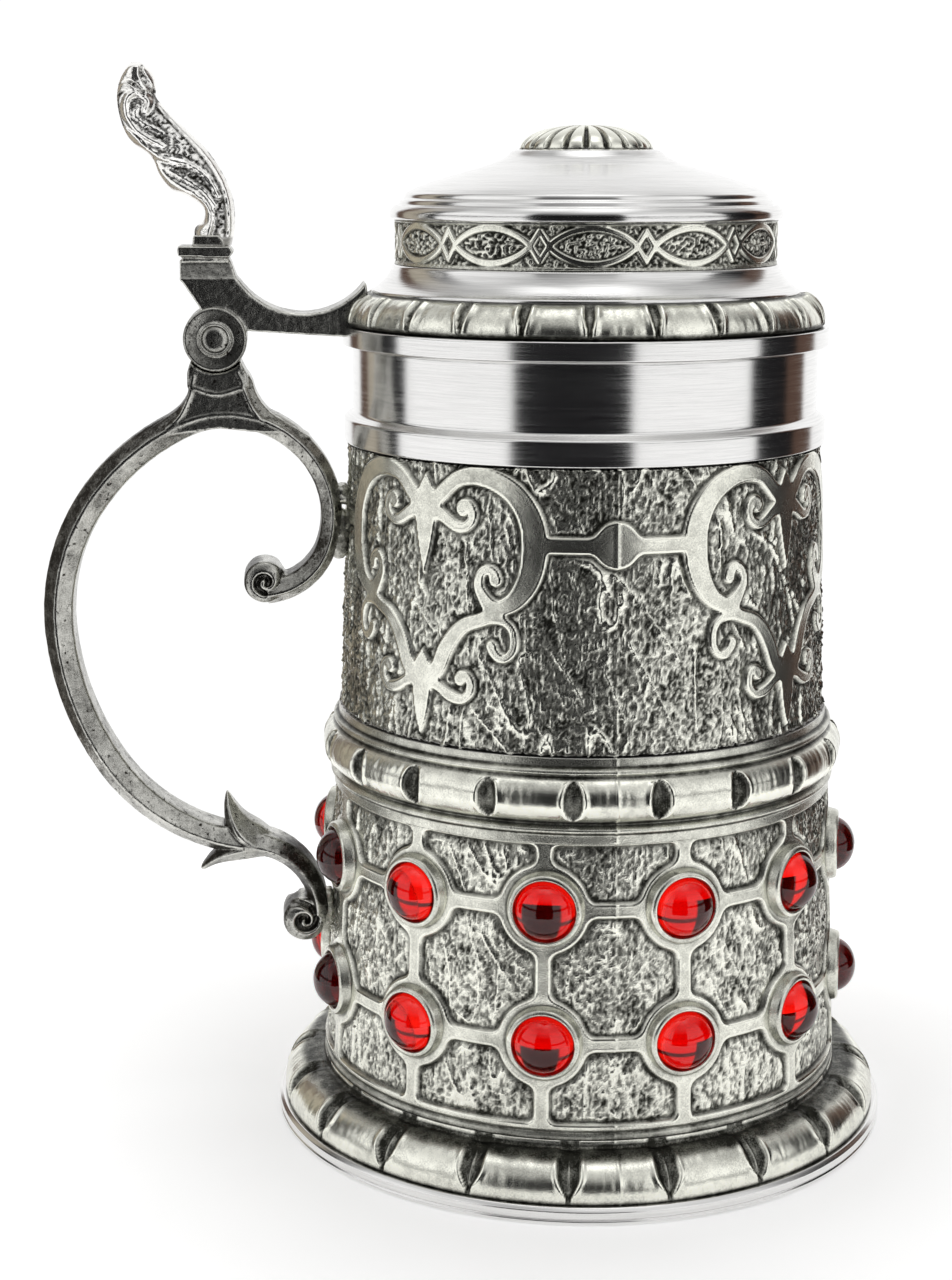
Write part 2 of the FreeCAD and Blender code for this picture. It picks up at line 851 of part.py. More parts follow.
def make_all():
    barrel_envelope = make_barrel_envelope()
    pieces = [
        make_foot_plate(),
        make_foot_ring(),
        make_floor_disc(),
        make_lower_barrel(),
        make_belt_ring(),
        make_upper_barrel(),
        make_lip_collar(),
        make_lid_rim(),
        make_lid_gadroon_ring(),
        make_lid_flare(),
        make_frieze_band(),
        make_lid_cap(),
        make_finial(),
    ]
    pieces += make_gems()
    handle = make_handle(barrel_envelope)
    lug_places = [
        ("shoulder_lug", 108.8, 112.4, 40.9),
        ("upper_lug", 99.4, 108.2, 41.2),
        ("lower_lug", 33.8, 40.0, 44.7),
    ]
    for label, low, high, reach in lug_places:
        pieces.append(make_lug(label, low, high, reach, handle.Shape, barrel_envelope))
    pieces += [handle, make_hinge_pin(), make_lid_arm(make_lid_envelope()), make_thumbpiece()]
    doc.recompute()
    return pieces


def check_document():
    for item in doc.Objects:
        if "Invalid" in item.State or "Error" in item.State:
            raise RuntimeError(f"{item.Label} failed to recompute")


def export(pieces):
    os.makedirs("parts", exist_ok=True)
    for piece in pieces:
        shape = piece.Shape
        if shape.isNull() or not shape.isValid() or not shape.Solids:
            raise RuntimeError(f"{piece.Label} has no valid solid")
        print(f"{piece.Label:20s} {shape.Volume:10.1f} mm3 {len(shape.Solids)} solid(s)")
        shape.exportStep(os.path.join("parts", piece.Label + ".step"))


fill_sheet()
tankard = make_all()
check_document()
export(tankard)
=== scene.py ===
import math

import bmesh
import bpy
import numpy as np
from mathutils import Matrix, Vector
from mathutils import noise as solid_noise


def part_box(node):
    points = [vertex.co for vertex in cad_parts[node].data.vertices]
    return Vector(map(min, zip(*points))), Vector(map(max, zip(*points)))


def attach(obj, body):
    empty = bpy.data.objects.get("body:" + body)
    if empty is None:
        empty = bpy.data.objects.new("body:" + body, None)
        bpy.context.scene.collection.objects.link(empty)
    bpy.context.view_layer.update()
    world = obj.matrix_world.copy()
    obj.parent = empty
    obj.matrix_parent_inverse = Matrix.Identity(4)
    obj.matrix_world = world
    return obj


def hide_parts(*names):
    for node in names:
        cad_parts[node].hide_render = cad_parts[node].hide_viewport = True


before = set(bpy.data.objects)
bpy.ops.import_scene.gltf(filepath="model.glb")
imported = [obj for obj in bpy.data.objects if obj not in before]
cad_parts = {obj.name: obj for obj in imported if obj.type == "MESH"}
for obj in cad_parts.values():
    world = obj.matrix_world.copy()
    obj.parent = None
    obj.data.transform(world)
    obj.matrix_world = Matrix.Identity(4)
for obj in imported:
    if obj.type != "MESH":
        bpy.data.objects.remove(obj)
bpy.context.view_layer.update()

# A lidded pewter tankard. Lengths here are millimetres in the frame's axes, and azimuths are
# degrees round from the front (-Y) towards +X, so the handle stands at -90.

MM = 0.001


def levels(node):
    """The lowest and highest height of a CAD node."""
    low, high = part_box(node)
    return low.z / MM, high.z / MM


def reach(node):
    """The largest radius of a turned CAD node."""
    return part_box(node)[1].x / MM


PLATE_LOW, PLATE_TOP = levels("foot_plate")
FOOT_TOP = levels("foot_ring")[1]
BELT_LOW, BELT_TOP = levels("belt_ring")
STEP_LOW, LIP_TOP = levels("lip_collar")
RIM_TOP = levels("lid_rim")[1]
CUSHION_TOP = levels("lid_gadroon_ring")[1]
FRIEZE_LOW, FRIEZE_TOP = levels("frieze_band")
CAP_TOP = levels("lid_cap")[1]
PLATE_RADIUS = reach("foot_plate") - 0.01
FOOT_RADIUS = 53.0
FOOT_LOBES, BELT_LOBES, LID_LOBES = 20, 20, 24
FIRST_NOTCH, FIRST_LID_NOTCH = 9, -6.5
LOWER_FOOT, LOWER_HEAD = 45.8, 43.5
UPPER_FOOT, UPPER_HEAD = reach("upper_barrel"), 40.6
STEP_RADIUS = reach("lip_collar")
COLLAR_RADIUS = STEP_RADIUS - 1.5
LID_RADIUS = reach("lid_rim")
FRIEZE_RADIUS = reach("frieze_band")
CAP_RADIUS = reach("lid_cap")
WALL = 2.4
LID_WALL = 2.0
ROW_SPACING = 0.27
GEM_RADIUS = 4.8
GEM_COLUMNS = 72
HINGE = np.array([-62.5, 137.3])


# ---------------------------------------------------------------- small helpers


def smooth_step(low, high, value):
    share = np.clip((value - low) / (high - low), 0, 1)
    return share * share * (3 - 2 * share)


def bell(value, centre, width):
    """1 at the centre, with soft flanks that reach nearly 0 at twice the width."""
    return np.exp(-(((value - centre) / width) ** 2))


def soft_min(first, second, blend):
    """The smaller of two distances, with a fillet where they meet."""
    share = np.clip(0.5 + 0.5 * (second - first) / blend, 0, 1)
    return second + (first - second) * share - blend * share * (1 - share)


def gradient_noise(across, up, seed, repeat):
    """Smooth noise in unit cells, about -0.7 to 0.7, that repeats after that many cells across."""
    base = math.floor(up.min())
    rows = int(up.max() - base) + 2
    turn = np.random.default_rng(seed).uniform(0, 2 * math.pi, (rows + 1, repeat))
    column = np.floor(across).astype(int)
    row = np.floor(up - base).astype(int)
    du = across - column
    dv = up - base - row
    total = 0
    for step_u in (0, 1):
        for step_v in (0, 1):
            angle = turn[row + step_v, (column + step_u) % repeat]
            slope = np.cos(angle) * (du - step_u) + np.sin(angle) * (dv - step_v)
            fade_u = smooth_step(0, 1, 1 - np.abs(du - step_u))
            fade_v = smooth_step(0, 1, 1 - np.abs(dv - step_v))
            total = total + slope * fade_u * fade_v
    return total


def wrapped_noise(azimuth, height, radius, cell, seed):
    """Noise on a cylinder, with cells of cell = (width, height) in millimetres."""
    repeat = max(3, round(2 * math.pi * float(np.mean(radius)) / cell[0]))
    return gradient_noise(azimuth / 360 * repeat, height / cell[1], seed, repeat)


def smooth_path(points, step=0.3):
    """Points every step along a smooth curve through the given ones."""
    points = np.array(points, float)
    first = 2 * points[0] - points[1]
    last = 2 * points[-1] - points[-2]
    padded = np.vstack([first, points, last])
    samples = []
    for before, start, end, after in zip(padded, padded[1:], padded[2:], padded[3:]):
        count = max(2, int(np.linalg.norm((end - start)[:2]) / step))
        t = np.arange(count)[:, None] / count
        linear = (end - before) * t
        square = (2 * before - 5 * start + 4 * end - after) * t**2
        cube = (3 * start - before - 3 * end + after) * t**3
        samples.append(start + 0.5 * (linear + square + cube))
    samples.append(points[-1:])
    return np.vstack(samples)


def stroke_distance(across, up, stroke):
    """Distance outside a tapered stroke through (across, up, half width) points."""
    best = np.full(np.broadcast(across, up).shape, 1e3)
    for x, y, half in smooth_path(stroke):
        np.minimum(best, np.hypot(across - x, up - y) - half, out=best)
    return best


def arc_points(start, end, radius, bulge, count):
    """Points of a minor arc; bulge +1 swells to the right of travel, -1 to the left."""
    start, end = np.array(start, float), np.array(end, float)
    chord = end - start
    length = np.linalg.norm(chord)
    normal = np.array([chord[1], -chord[0]]) / length * bulge
    depth = math.sqrt(radius**2 - (length / 2) ** 2)
    centre = (start + end) / 2 - normal * depth
    half = math.asin(length / 2 / radius)
    angles = np.linspace(-half, half, count)
    along = chord / length
    return centre + radius * (np.cos(angles)[:, None] * normal + np.sin(angles)[:, None] * along)


def eased(corners, fillet, closed=True):
    """An outline with its corners rounded; a corner's third number is its own rounding."""
    result = []
    count = len(corners)
    for index, corner in enumerate(corners):
        here = np.array(corner[:2], float)
        before = np.array(corners[index - 1][:2], float) - here
        after = np.array(corners[(index + 1) % count][:2], float) - here
        lengths = np.linalg.norm(before), np.linalg.norm(after)
        size = min(corner[2] if len(corner) > 2 else fillet, 0.45 * min(lengths))
        if size < 1e-3 or (not closed and index in (0, count - 1)):
            result.append(here)
            continue
        start = here + before / lengths[0] * size
        end = here + after / lengths[1] * size
        for t in (0, 0.25, 0.5, 0.75, 1):
            result.append((1 - t) ** 2 * start + 2 * t * (1 - t) * here + t * t * end)
    return np.array(result)


def divided(outline, spacing, closed=True):
    """The outline with its long stretches split, and a guard point near each end of them."""
    result = []
    ends = np.roll(outline, -1, 0) if closed else outline[1:]
    for start, end in zip(outline, ends):
        length = np.linalg.norm(end - start)
        result.append(start)
        if length < 0.7:
            continue
        guard = 0.12 / length
        count = int(length / spacing)
        shares = [guard] + [k / (count + 1) for k in range(1, count + 1)] + [1 - guard]
        result += [start + (end - start) * share for share in shares]
    if not closed:
        result.append(outline[-1])
    return np.array(result)


# ---------------------------------------------------------------- meshes


def add_object(name, points, faces, materials, slots=None, wear_and_shade=None):
    """A smooth mesh object from millimetre points and quads."""
    mesh = bpy.data.meshes.new(name)
    faces = np.asarray(faces, np.int32)
    mesh.vertices.add(len(points))
    mesh.vertices.foreach_set("co", (np.asarray(points) * MM).astype(np.float32).ravel())
    mesh.loops.add(faces.size)
    mesh.loops.foreach_set("vertex_index", faces.ravel())
    mesh.polygons.add(len(faces))
    starts = np.arange(0, faces.size, faces.shape[1], dtype=np.int32)
    mesh.polygons.foreach_set("loop_start", starts)
    for material in materials:
        mesh.materials.append(material)
    if slots is not None:
        mesh.polygons.foreach_set("material_index", np.asarray(slots, np.int32))
    mesh.update(calc_edges=True)
    mesh.shade_smooth()
    if wear_and_shade is not None:
        store_wear_and_shade(mesh, wear_and_shade)
    made = bpy.data.objects.new(name, mesh)
    bpy.context.scene.collection.objects.link(made)
    return made


def store_wear_and_shade(mesh, wear_and_shade):
    """Keeps how polished each vertex is, from 0 in a recess to 1 on a ridge; on the collets and the handle
    the value also holds painted shade.
    """
    layer = mesh.attributes.new("wear_and_shade", "FLOAT", "POINT")
    layer.data.foreach_set("value", np.asarray(wear_and_shade, np.float32).ravel())


def vertex_rows(mesh, key):
    """The vertices' "co" or "normal" as rows of three."""
    values = np.empty(len(mesh.vertices) * 3, np.float32)
    mesh.vertices.foreach_get(key, values)
    return values.reshape(-1, 3)


def settle(made, body, name=None):
    """Hangs a piece on its body, in place of the CAD node with that name."""
    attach(made, body)
    if name:
        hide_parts(name)


def grid_faces(rows, columns, closed_rows):
    """Quads between neighbouring rows of a grid whose columns close on themselves."""
    row = np.arange(rows if closed_rows else rows - 1)[:, None]
    column = np.arange(columns)[None, :]
    above = (row + 1) % rows
    beside = (column + 1) % columns
    corners = (
        row * columns + column,
        row * columns + beside,
        above * columns + beside,
        above * columns + column,
    )
    return np.stack(corners, -1).reshape(-1, 4)


def turned_points(profile, columns, lift=0.0):
    """A profile turned about the vertical axis, each point pushed out along its normal."""
    azimuth = np.radians(np.arange(columns) * 360 / columns)[None, :]
    tangent = np.roll(profile, -1, 0) - np.roll(profile, 1, 0)
    normal = np.stack([tangent[:, 1], -tangent[:, 0]], 1)
    normal /= np.maximum(np.linalg.norm(normal, axis=1, keepdims=True), 1e-9)
    radius = profile[:, :1] + normal[:, :1] * lift
    height = profile[:, 1:] + normal[:, 1:] * lift
    points = [radius * np.sin(azimuth), -radius * np.cos(azimuth), height + 0 * azimuth]
    return np.stack(points, -1)


def weld(made):
    """Join coincident vertices, as at a turned piece's axis, and drop empty faces."""
    cells = bmesh.new()
    cells.from_mesh(made.data)
    bmesh.ops.remove_doubles(cells, verts=cells.verts, dist=1e-7)
    bmesh.ops.dissolve_degenerate(cells, edges=cells.edges, dist=1e-8)
    cells.to_mesh(made.data)
    cells.free()


def turned_piece(name, body, corners, material, fillet=0.25, columns=288, spacing=1.2):
    """A plain turned piece from its closed outline, counter-clockwise, radius then height."""
    profile = divided(eased(corners, fillet), spacing)
    solid = profile[:, 0].min() < 1e-6
    if solid:
        on_axis = np.flatnonzero(profile[:, 0] < 1e-6)
        profile = np.roll(profile, -on_axis[profile[on_axis, 1].argmin()], 0)
        keep = np.flatnonzero(profile[:, 0] < 1e-6)
        profile = profile[: keep[keep > 0].min() + 1] if len(keep) > 1 else profile
    points = turned_points(profile, columns)
    faces = grid_faces(len(profile), columns, not solid)
    made = add_object(name, points.reshape(-1, 3), faces, [material], wear_and_shade=np.full(points.shape[:2], 0.8))
    if solid:
        weld(made)
    settle(made, body, name)


def relief_ring(name, body, outer, inner, columns, relief):
    """A turned casting whose outer profile carries a relief and whose inner profile is plain."""
    profile = np.vstack([outer, inner])
    azimuth = (np.arange(columns)[None, :] * 360 / columns + 180) % 360 - 180
    lift = np.zeros((len(profile), columns))
    wear_and_shade = np.full((len(profile), columns), 0.7)
    lift[: len(outer)], wear_and_shade[: len(outer)] = relief(azimuth, outer[:, :1], outer[:, 1:])
    points = turned_points(profile, columns, lift).reshape(-1, 3)
    rows = np.repeat(np.arange(len(profile)), columns)
    slots = (rows >= len(outer) - 1).astype(int)
    made = add_object(name, points, grid_faces(len(profile), columns, True), [ANTIQUED, INNER], slots, wear_and_shade)
    settle(made, body, name)


def curvature_wear(mesh, gain, rounds=2):
    """Wear from shape: near 1 on ridges, near 0 in creases, a middle value on flats."""
    count = len(mesh.vertices)
    place, normal = vertex_rows(mesh, "co") / MM, vertex_rows(mesh, "normal")
    ends = np.empty(len(mesh.edges) * 2, np.int32)
    mesh.edges.foreach_get("vertices", ends)
    first, second = ends.reshape(-1, 2).T
    step = place[second] - place[first]
    step /= np.maximum(np.linalg.norm(step, axis=1, keepdims=True), 1e-9)
    neighbours = np.bincount(first, minlength=count) + np.bincount(second, minlength=count)
    neighbours = np.maximum(neighbours, 1)
    bend = np.bincount(first, -(normal[first] * step).sum(1), count)
    bend += np.bincount(second, (normal[second] * step).sum(1), count)
    bend /= neighbours
    for _ in range(rounds):
        spread = np.bincount(first, bend[second], count) + np.bincount(second, bend[first], count)
        bend = (bend + spread / neighbours) / 2
    return np.clip(0.5 + gain * bend, 0, 1)


def joined(shells):
    """Several (points, faces) shells as one."""
    points, faces = [], []
    for shell_points, shell_faces in shells:
        faces += [[index + len(points) for index in face] for face in shell_faces]
        points += [tuple(point) for point in shell_points]
    return points, faces


def fused_mesh(name, shells, voxel, smoothing):
    """The union of overlapping closed shells, in millimetres, with softened edges."""
    points, faces = joined(shells)
    rough = bpy.data.meshes.new(name + "_shells")
    rough.from_pydata(points, [], faces)
    holder = bpy.data.objects.new(name + "_shells", rough)
    bpy.context.scene.collection.objects.link(holder)
    union = holder.modifiers.new("union", "REMESH")
    union.mode = "VOXEL"
    union.voxel_size = voxel
    soften = holder.modifiers.new("soften", "SMOOTH")
    soften.factor = 0.5
    soften.iterations = smoothing
    evaluated = holder.evaluated_get(bpy.context.evaluated_depsgraph_get())
    mesh = bpy.data.meshes.new_from_object(evaluated)
    mesh.name = name
    bpy.data.objects.remove(holder)
    bpy.data.meshes.remove(rough)
    return mesh


def cast_piece(name, body, shells, material, voxel, roughness, gain, smoothing):
    """One casting made of overlapping shells, with an uneven skin."""
    mesh = fused_mesh(name, shells, voxel, smoothing)
    place, normal = vertex_rows(mesh, "co"), vertex_rows(mesh, "normal")
    coarse = np.array([solid_noise.noise(Vector(p) * 0.9) for p in place])
    fine = np.array([solid_noise.noise(Vector(p) * 2.3) for p in place])
    place = place + normal * ((coarse + 0.6 * fine) * roughness)[:, None]
    mesh.vertices.foreach_set("co", (place * MM).astype(np.float32).ravel())
    mesh.update()
    mesh.shade_smooth()
    mesh.materials.clear()
    mesh.materials.append(material)
    store_wear_and_shade(mesh, curvature_wear(mesh, gain))
    made = bpy.data.objects.new(name, mesh)
    bpy.context.scene.collection.objects.link(made)
    settle(made, body, name)
    return made


def swept_shell(stations, section):
    """A closed shell: the section, in (share of half thickness, share of half width), swept
    along stations of (x, z, heading, half thickness, half width)."""
    points = []
    for x, z, heading, half, wide in stations:
        normal = (-math.sin(heading), math.cos(heading))
        for share, side in section:
            points.append((x + normal[0] * half * share, side * wide, z + normal[1] * half * share))
    columns = len(section)
    rows = len(stations)
    faces = [list(face) for face in grid_faces(rows, columns, False)]
    faces.append(list(range(columns))[::-1])
    faces.append([(rows - 1) * columns + index for index in range(columns)])
    return points, faces


def slab_shell(outline, low, high):
    """A closed prism over an outline in (x, z), between two offsets along the hinge axis."""
    count = len(outline)
    points = [(x, low, z) for x, z in outline] + [(x, high, z) for x, z in outline]
    faces = [list(range(count)), list(range(count, 2 * count))[::-1]]
    for index in range(count):
        after = (index + 1) % count
        faces.append([after, index, count + index, count + after])
    return points, faces


def disc_outline(centre, radius, count=64):
    angles = np.arange(count) * 2 * math.pi / count
    return [(centre[0] + radius * math.cos(a), centre[1] + radius * math.sin(a)) for a in angles]


def path_stations(path):
    """Stations along a smooth path of (x, z, half thickness, half width) points."""
    points = smooth_path([(x, z, half, wide) for x, z, half, wide in path], 0.8)
    slope = np.gradient(points[:, :2], axis=0)
    headings = np.arctan2(slope[:, 1], slope[:, 0])
    return [(x, z, a, half, wide) for (x, z, half, wide), a in zip(points, headings)]


# ---------------------------------------------------------------- materials


def node(tree, kind, inputs=None, **options):
    """A shader node with its options set and its inputs linked or filled in."""
    made = tree.nodes.new(kind)
    for key, value in options.items():
        setattr(made, key, value)
    for key, value in (inputs or {}).items():
        socket = made.inputs[key]
        if isinstance(value, bpy.types.NodeSocket):
            tree.links.new(value, socket)
        else:
            socket.default_value = value
    return made


def sum_of(tree, first, second, factor=1.0):
    """first + second * factor, as a socket."""
    return node(tree, "ShaderNodeMath", {0: second, 1: factor, 2: first}, operation="MULTIPLY_ADD").outputs[0]


def maths(tree, operation, first, second):
    return node(tree, "ShaderNodeMath", {0: first, 1: second}, operation=operation).outputs[0]


def remap(tree, value, span, result):
    """The value with its span, as (from, to), stretched on to the result's."""
    inputs = dict(zip(("From Min", "From Max", "To Min", "To Max"), (*span, *result)))
    return node(tree, "ShaderNodeMapRange", {"Value": value, **inputs}).outputs["Result"]


def ramp(tree, source, stops, interpolation="LINEAR"):
    """A colour ramp of (position, colour or grey) stops."""
    made = node(tree, "ShaderNodeValToRGB", {"Fac": source})
    band = made.color_ramp
    band.interpolation = interpolation
    while len(band.elements) < len(stops):
        band.elements.new(1.0)
    for element, (position, colour) in zip(band.elements, stops):
        element.position = position
        grey = (colour,) * 3 if isinstance(colour, (int, float)) else colour
        element.color = (*grey, 1)
    return made.outputs["Color"]


def noise_of(tree, vector, scale, detail=3.0, roughness=0.55):
    inputs = {"Vector": vector, "Scale": scale, "Detail": detail, "Roughness": roughness}
    return node(tree, "ShaderNodeTexNoise", inputs).outputs["Fac"]


def new_material(name, **settings):
    """A material with constants set on its shader; returns it, its tree, shader and coordinates."""
    material = bpy.data.materials.new(name)
    material.use_nodes = True
    tree = material.node_tree
    shader = tree.nodes["Principled BSDF"]
    for key, value in settings.items():
        shader.inputs[key.replace("_", " ")].default_value = value
    return material, tree, shader, node(tree, "ShaderNodeTexCoord").outputs["Object"]


def bump(tree, shader, height, strength, distance):
    inputs = {"Height": height, "Strength": strength, "Distance": distance}
    made = node(tree, "ShaderNodeBump", inputs)
    tree.links.new(made.outputs["Normal"], shader.inputs["Normal"])


def antiqued_pewter(name, dark, bright, tooth, middle=0.6, gloss=0.18, mottle=1.0, pits=0.0):
    """Cast pewter with dark patina left in its recesses and polished high points, as the stored per-vertex
    value says; on the collets and the handle that value also holds painted shade.
    """
    material, tree, shader, place = new_material(name, Metallic=1.0)
    wear_and_shade = node(tree, "ShaderNodeAttribute", attribute_name="wear_and_shade").outputs["Fac"]
    grain = noise_of(tree, place, 3800, 3, 0.7)
    blotch = noise_of(tree, place, 190, 4)
    smear = noise_of(tree, place, 620, 3)
    spots = ramp(tree, noise_of(tree, place, 1250, 2, 0.5), [(0.63, 0.0), (0.72, 1.0)])
    level = sum_of(tree, wear_and_shade, grain, 0.46 * mottle)
    level = sum_of(tree, level, blotch, 0.42 * mottle)
    level = sum_of(tree, level, smear, 0.3 * mottle)
    level = maths(tree, "SUBTRACT", sum_of(tree, level, spots, -pits), 0.59 * mottle)
    shades = [tuple(d + (b - d) * part for d, b in zip(dark, bright)) for part in (0.4 * middle, middle)]
    colour = ramp(tree, level, [(0.0, dark), (0.25, shades[0]), (0.5, shades[1]), (0.9, bright)])
    tree.links.new(colour, shader.inputs["Base Color"])
    dull = remap(tree, level, (0, 1), (gloss + 0.2, gloss))
    tree.links.new(dull, shader.inputs["Roughness"])
    rough = remap(tree, wear_and_shade, (0, 1), (1, 0.08))
    tone = maths(tree, "MULTIPLY", sum_of(tree, grain, smear, 0.8), rough)
    bump(tree, shader, tone, 0.5, tooth)
    return material


def brushed_pewter(name, colour, roughness, streak):
    """Turned and polished pewter with fine brush lines round the axis."""
    material, tree, shader, place = new_material(
        name, Metallic=1.0, Anisotropic=0.65, Anisotropic_Rotation=0.25
    )
    parts = node(tree, "ShaderNodeSeparateXYZ", {"Vector": place}).outputs
    flat = node(tree, "ShaderNodeCombineXYZ", {"X": parts["X"], "Y": parts["Y"]}).outputs[0]
    radius = node(tree, "ShaderNodeVectorMath", {0: flat}, operation="LENGTH").outputs["Value"]
    turn = maths(tree, "ARCTAN2", parts["Y"], parts["X"])
    lines = {"X": radius, "Y": parts["Z"], "Z": maths(tree, "MULTIPLY", turn, 0.0012)}
    lines = node(tree, "ShaderNodeCombineXYZ", lines).outputs[0]
    fine = noise_of(tree, lines, 3600, 2, 0.6)
    broad = noise_of(tree, lines, 700, 3, 0.6)
    cloud = noise_of(tree, place, 55, 2)
    both = sum_of(tree, fine, broad, 0.7)
    tint = ramp(tree, both, [(0.6, tuple(c * 0.84 for c in colour)), (1.0, colour)])
    tree.links.new(tint, shader.inputs["Base Color"])
    dull = remap(tree, sum_of(tree, both, cloud, 0.5), (0.7, 1.4), (roughness - 0.05, roughness + 0.07))
    tree.links.new(dull, shader.inputs["Roughness"])
    tangent = node(tree, "ShaderNodeTangent", direction_type="RADIAL", axis="Z")
    tree.links.new(tangent.outputs["Tangent"], shader.inputs["Tangent"])
    bump(tree, shader, both, streak, 0.00003)
    return material


def ruby_glass():
    """Clear red glass of the cabochons, faintly uneven."""
    material, tree, shader, place = new_material(
        "cabochon_glass", Transmission_Weight=0.98, Roughness=0.0, IOR=1.5
    )
    swirl = noise_of(tree, place, 420, 2)
    colour = ramp(tree, swirl, [(0.3, (0.86, 0.004, 0.002)), (0.7, (0.95, 0.012, 0.006))])
    tree.links.new(colour, shader.inputs["Base Color"])
    bump(tree, shader, swirl, 0.04, 0.0001)
    return material


def floor_material():
    """Pale matt table with painted light: it glows, more strongly towards its edge, so it reads white and
    fades into the white backdrop.
    """
    material, tree, shader, place = new_material(
        "studio_floor", Roughness=0.9, Specular_IOR_Level=0.1, Emission_Color=(1, 1, 1, 1)
    )
    colour = ramp(tree, noise_of(tree, place, 40), [(0.3, 0.93), (0.7, 0.95)])
    tree.links.new(colour, shader.inputs["Base Color"])
    far = node(tree, "ShaderNodeVectorMath", {0: place}, operation="LENGTH").outputs["Value"]
    # painted light: the floor emits 0.3 near the object, rising to 0.6 at its edge
    painted_floor_glow = remap(tree, far, (0.06, 0.16), (0.3, 0.6))
    tree.links.new(painted_floor_glow, shader.inputs["Emission Strength"])
    return material


ANTIQUED = antiqued_pewter(
    "antiqued_pewter", (0.026, 0.026, 0.021), (0.88, 0.88, 0.79), 0.00014, 0.56, 0.19, 1.75
)
CAST = antiqued_pewter(
    "cast_pewter", (0.03, 0.027, 0.023), (0.69, 0.685, 0.64), 0.00012, 0.6, 0.15, 2.2, 0.55
)
SCROLL = antiqued_pewter(
    "scroll_pewter", (0.035, 0.032, 0.027), (0.98, 0.97, 0.94), 0.00016, 0.74, 0.24, 1.0, 0.3
)
SOLDER = antiqued_pewter("solder", (0.08, 0.075, 0.07), (0.78, 0.775, 0.71), 0.0002)
POLISHED = brushed_pewter("polished_pewter", (0.86, 0.855, 0.845), 0.16, 0.5)
FOIL = brushed_pewter("gem_foil", (0.95, 0.95, 0.95), 0.06, 0.0)
INNER = brushed_pewter("inner_pewter", (0.62, 0.61, 0.59), 0.34, 0.3)
GLASS = ruby_glass()


# ---------------------------------------------------------------- foot


def lobe_offset(azimuth, first, lobes, radius):
    """Distance along the moulding, signed, from the nearest notch between lobes."""
    pitch = 360 / lobes
    nearest = (azimuth - first + pitch / 2) % pitch - pitch / 2
    return np.radians(nearest) * radius


def notch_relief(offset, half, depth, rib=0.0):
    """A scooped notch with a lip along each side and, where wanted, a thin rib down its middle."""
    half = np.maximum(half, 0.05)
    scoop = np.clip(1 - (offset / half) ** 2, 0, 1) ** 0.8
    lip = bell(np.abs(offset), half + 0.35, 0.36) * smooth_step(0.2, 0.9, half)
    middle = rib * bell(offset, 0, 0.3) * smooth_step(0.3, 1.0, half)
    lift = -depth * scoop * (1 - middle) + 0.2 * lip
    wear_and_shade = 0.82 - 0.76 * smooth_step(0.0, 0.35, scoop) * (1 - middle) + 0.18 * lip
    return lift, wear_and_shade


def tooled(azimuth, height, radius, seed):
    """Fine upright scratches and ripples left on the plain lobes."""
    ripple = wrapped_noise(azimuth, height, radius, (0.9, 5.0), seed)
    patch = wrapped_noise(azimuth, height, radius, (2.4, 2.0), seed + 1)
    scratch = wrapped_noise(azimuth, height, radius, (0.6, 2.2), seed + 2)
    return 0.045 * ripple + 0.03 * scratch + 0.03 * patch


def seam(azimuth, radius):
    """The raised line that the mould's joint leaves down the front and back."""
    front = np.radians(azimuth) * radius
    back = np.radians((azimuth + 360) % 360 - 180) * radius
    return 0.2 * (bell(front, 0, 0.2) + bell(back, 0, 0.2))


def dents(azimuth, height, radius, seed):
    """Gentle unevenness of a hand-finished casting."""
    return 0.05 * wrapped_noise(azimuth, height, radius, (4.0, 3.0), seed)


def make_foot():
    """The plate, the gadrooned ring over it and the floor disc inside."""
    edge, mouth = PLATE_RADIUS, FOOT_RADIUS - 10
    plate = [
        (mouth, PLATE_LOW), (edge, PLATE_LOW, 0.15), (edge, 0.6), (edge - 0.25, 0.85), (edge, 1.1),
        (edge, 2.2), (edge - 0.6, PLATE_TOP), (mouth, PLATE_TOP),
    ]
    turned_piece("foot_plate", "vessel", plate, POLISHED, 0.15)
    cushion = arc_points((FOOT_RADIUS, 3.0), (46.4, 9.5), 5.9, 1, 44)
    neck = eased([(46.4, 9.5), (46.0, 9.7), (LOWER_FOOT + 0.1, 10.2), (LOWER_FOOT, FOOT_TOP)], 0.2, False)
    outer = np.vstack([[(52.2, PLATE_TOP)], cushion, neck[1:]])
    inner = [(41.4, FOOT_TOP), (41.4, 8.6), (44.2, 7.8), (50.4, PLATE_TOP)]

    def relief(azimuth, radius, height):
        half = 0.3 + 1.65 * smooth_step(0.02, 0.7, np.clip((height - 3.0) / 6.5, 0, 1))
        lift, wear_and_shade = notch_relief(lobe_offset(azimuth, FIRST_NOTCH, FOOT_LOBES, 51.0), half, 1.3, 0.45)
        inside = smooth_step(2.9, 3.6, height) * (1 - smooth_step(9.0, 9.7, height))
        lift = (lift + tooled(azimuth, height, 50, 5)) * inside
        wear_and_shade = 0.1 + (wear_and_shade - 0.1) * smooth_step(2.9, 3.8, height)
        wear_and_shade = wear_and_shade * (1 - 0.92 * smooth_step(8.3, 9.4, height) * (1 - smooth_step(10.0, 10.5, height)))
        return lift + dents(azimuth, height, 50, 3) + seam(azimuth, 50), wear_and_shade

    relief_ring("foot_ring", "vessel", outer, inner, 1200, relief)
    radius = reach("floor_disc")
    low, high = levels("floor_disc")
    disc = [(0, low), (radius, low), (radius, high), (0, high)]
    turned_piece("floor_disc", "vessel", disc, INNER, 0.3)


# ---------------------------------------------------------------- barrels


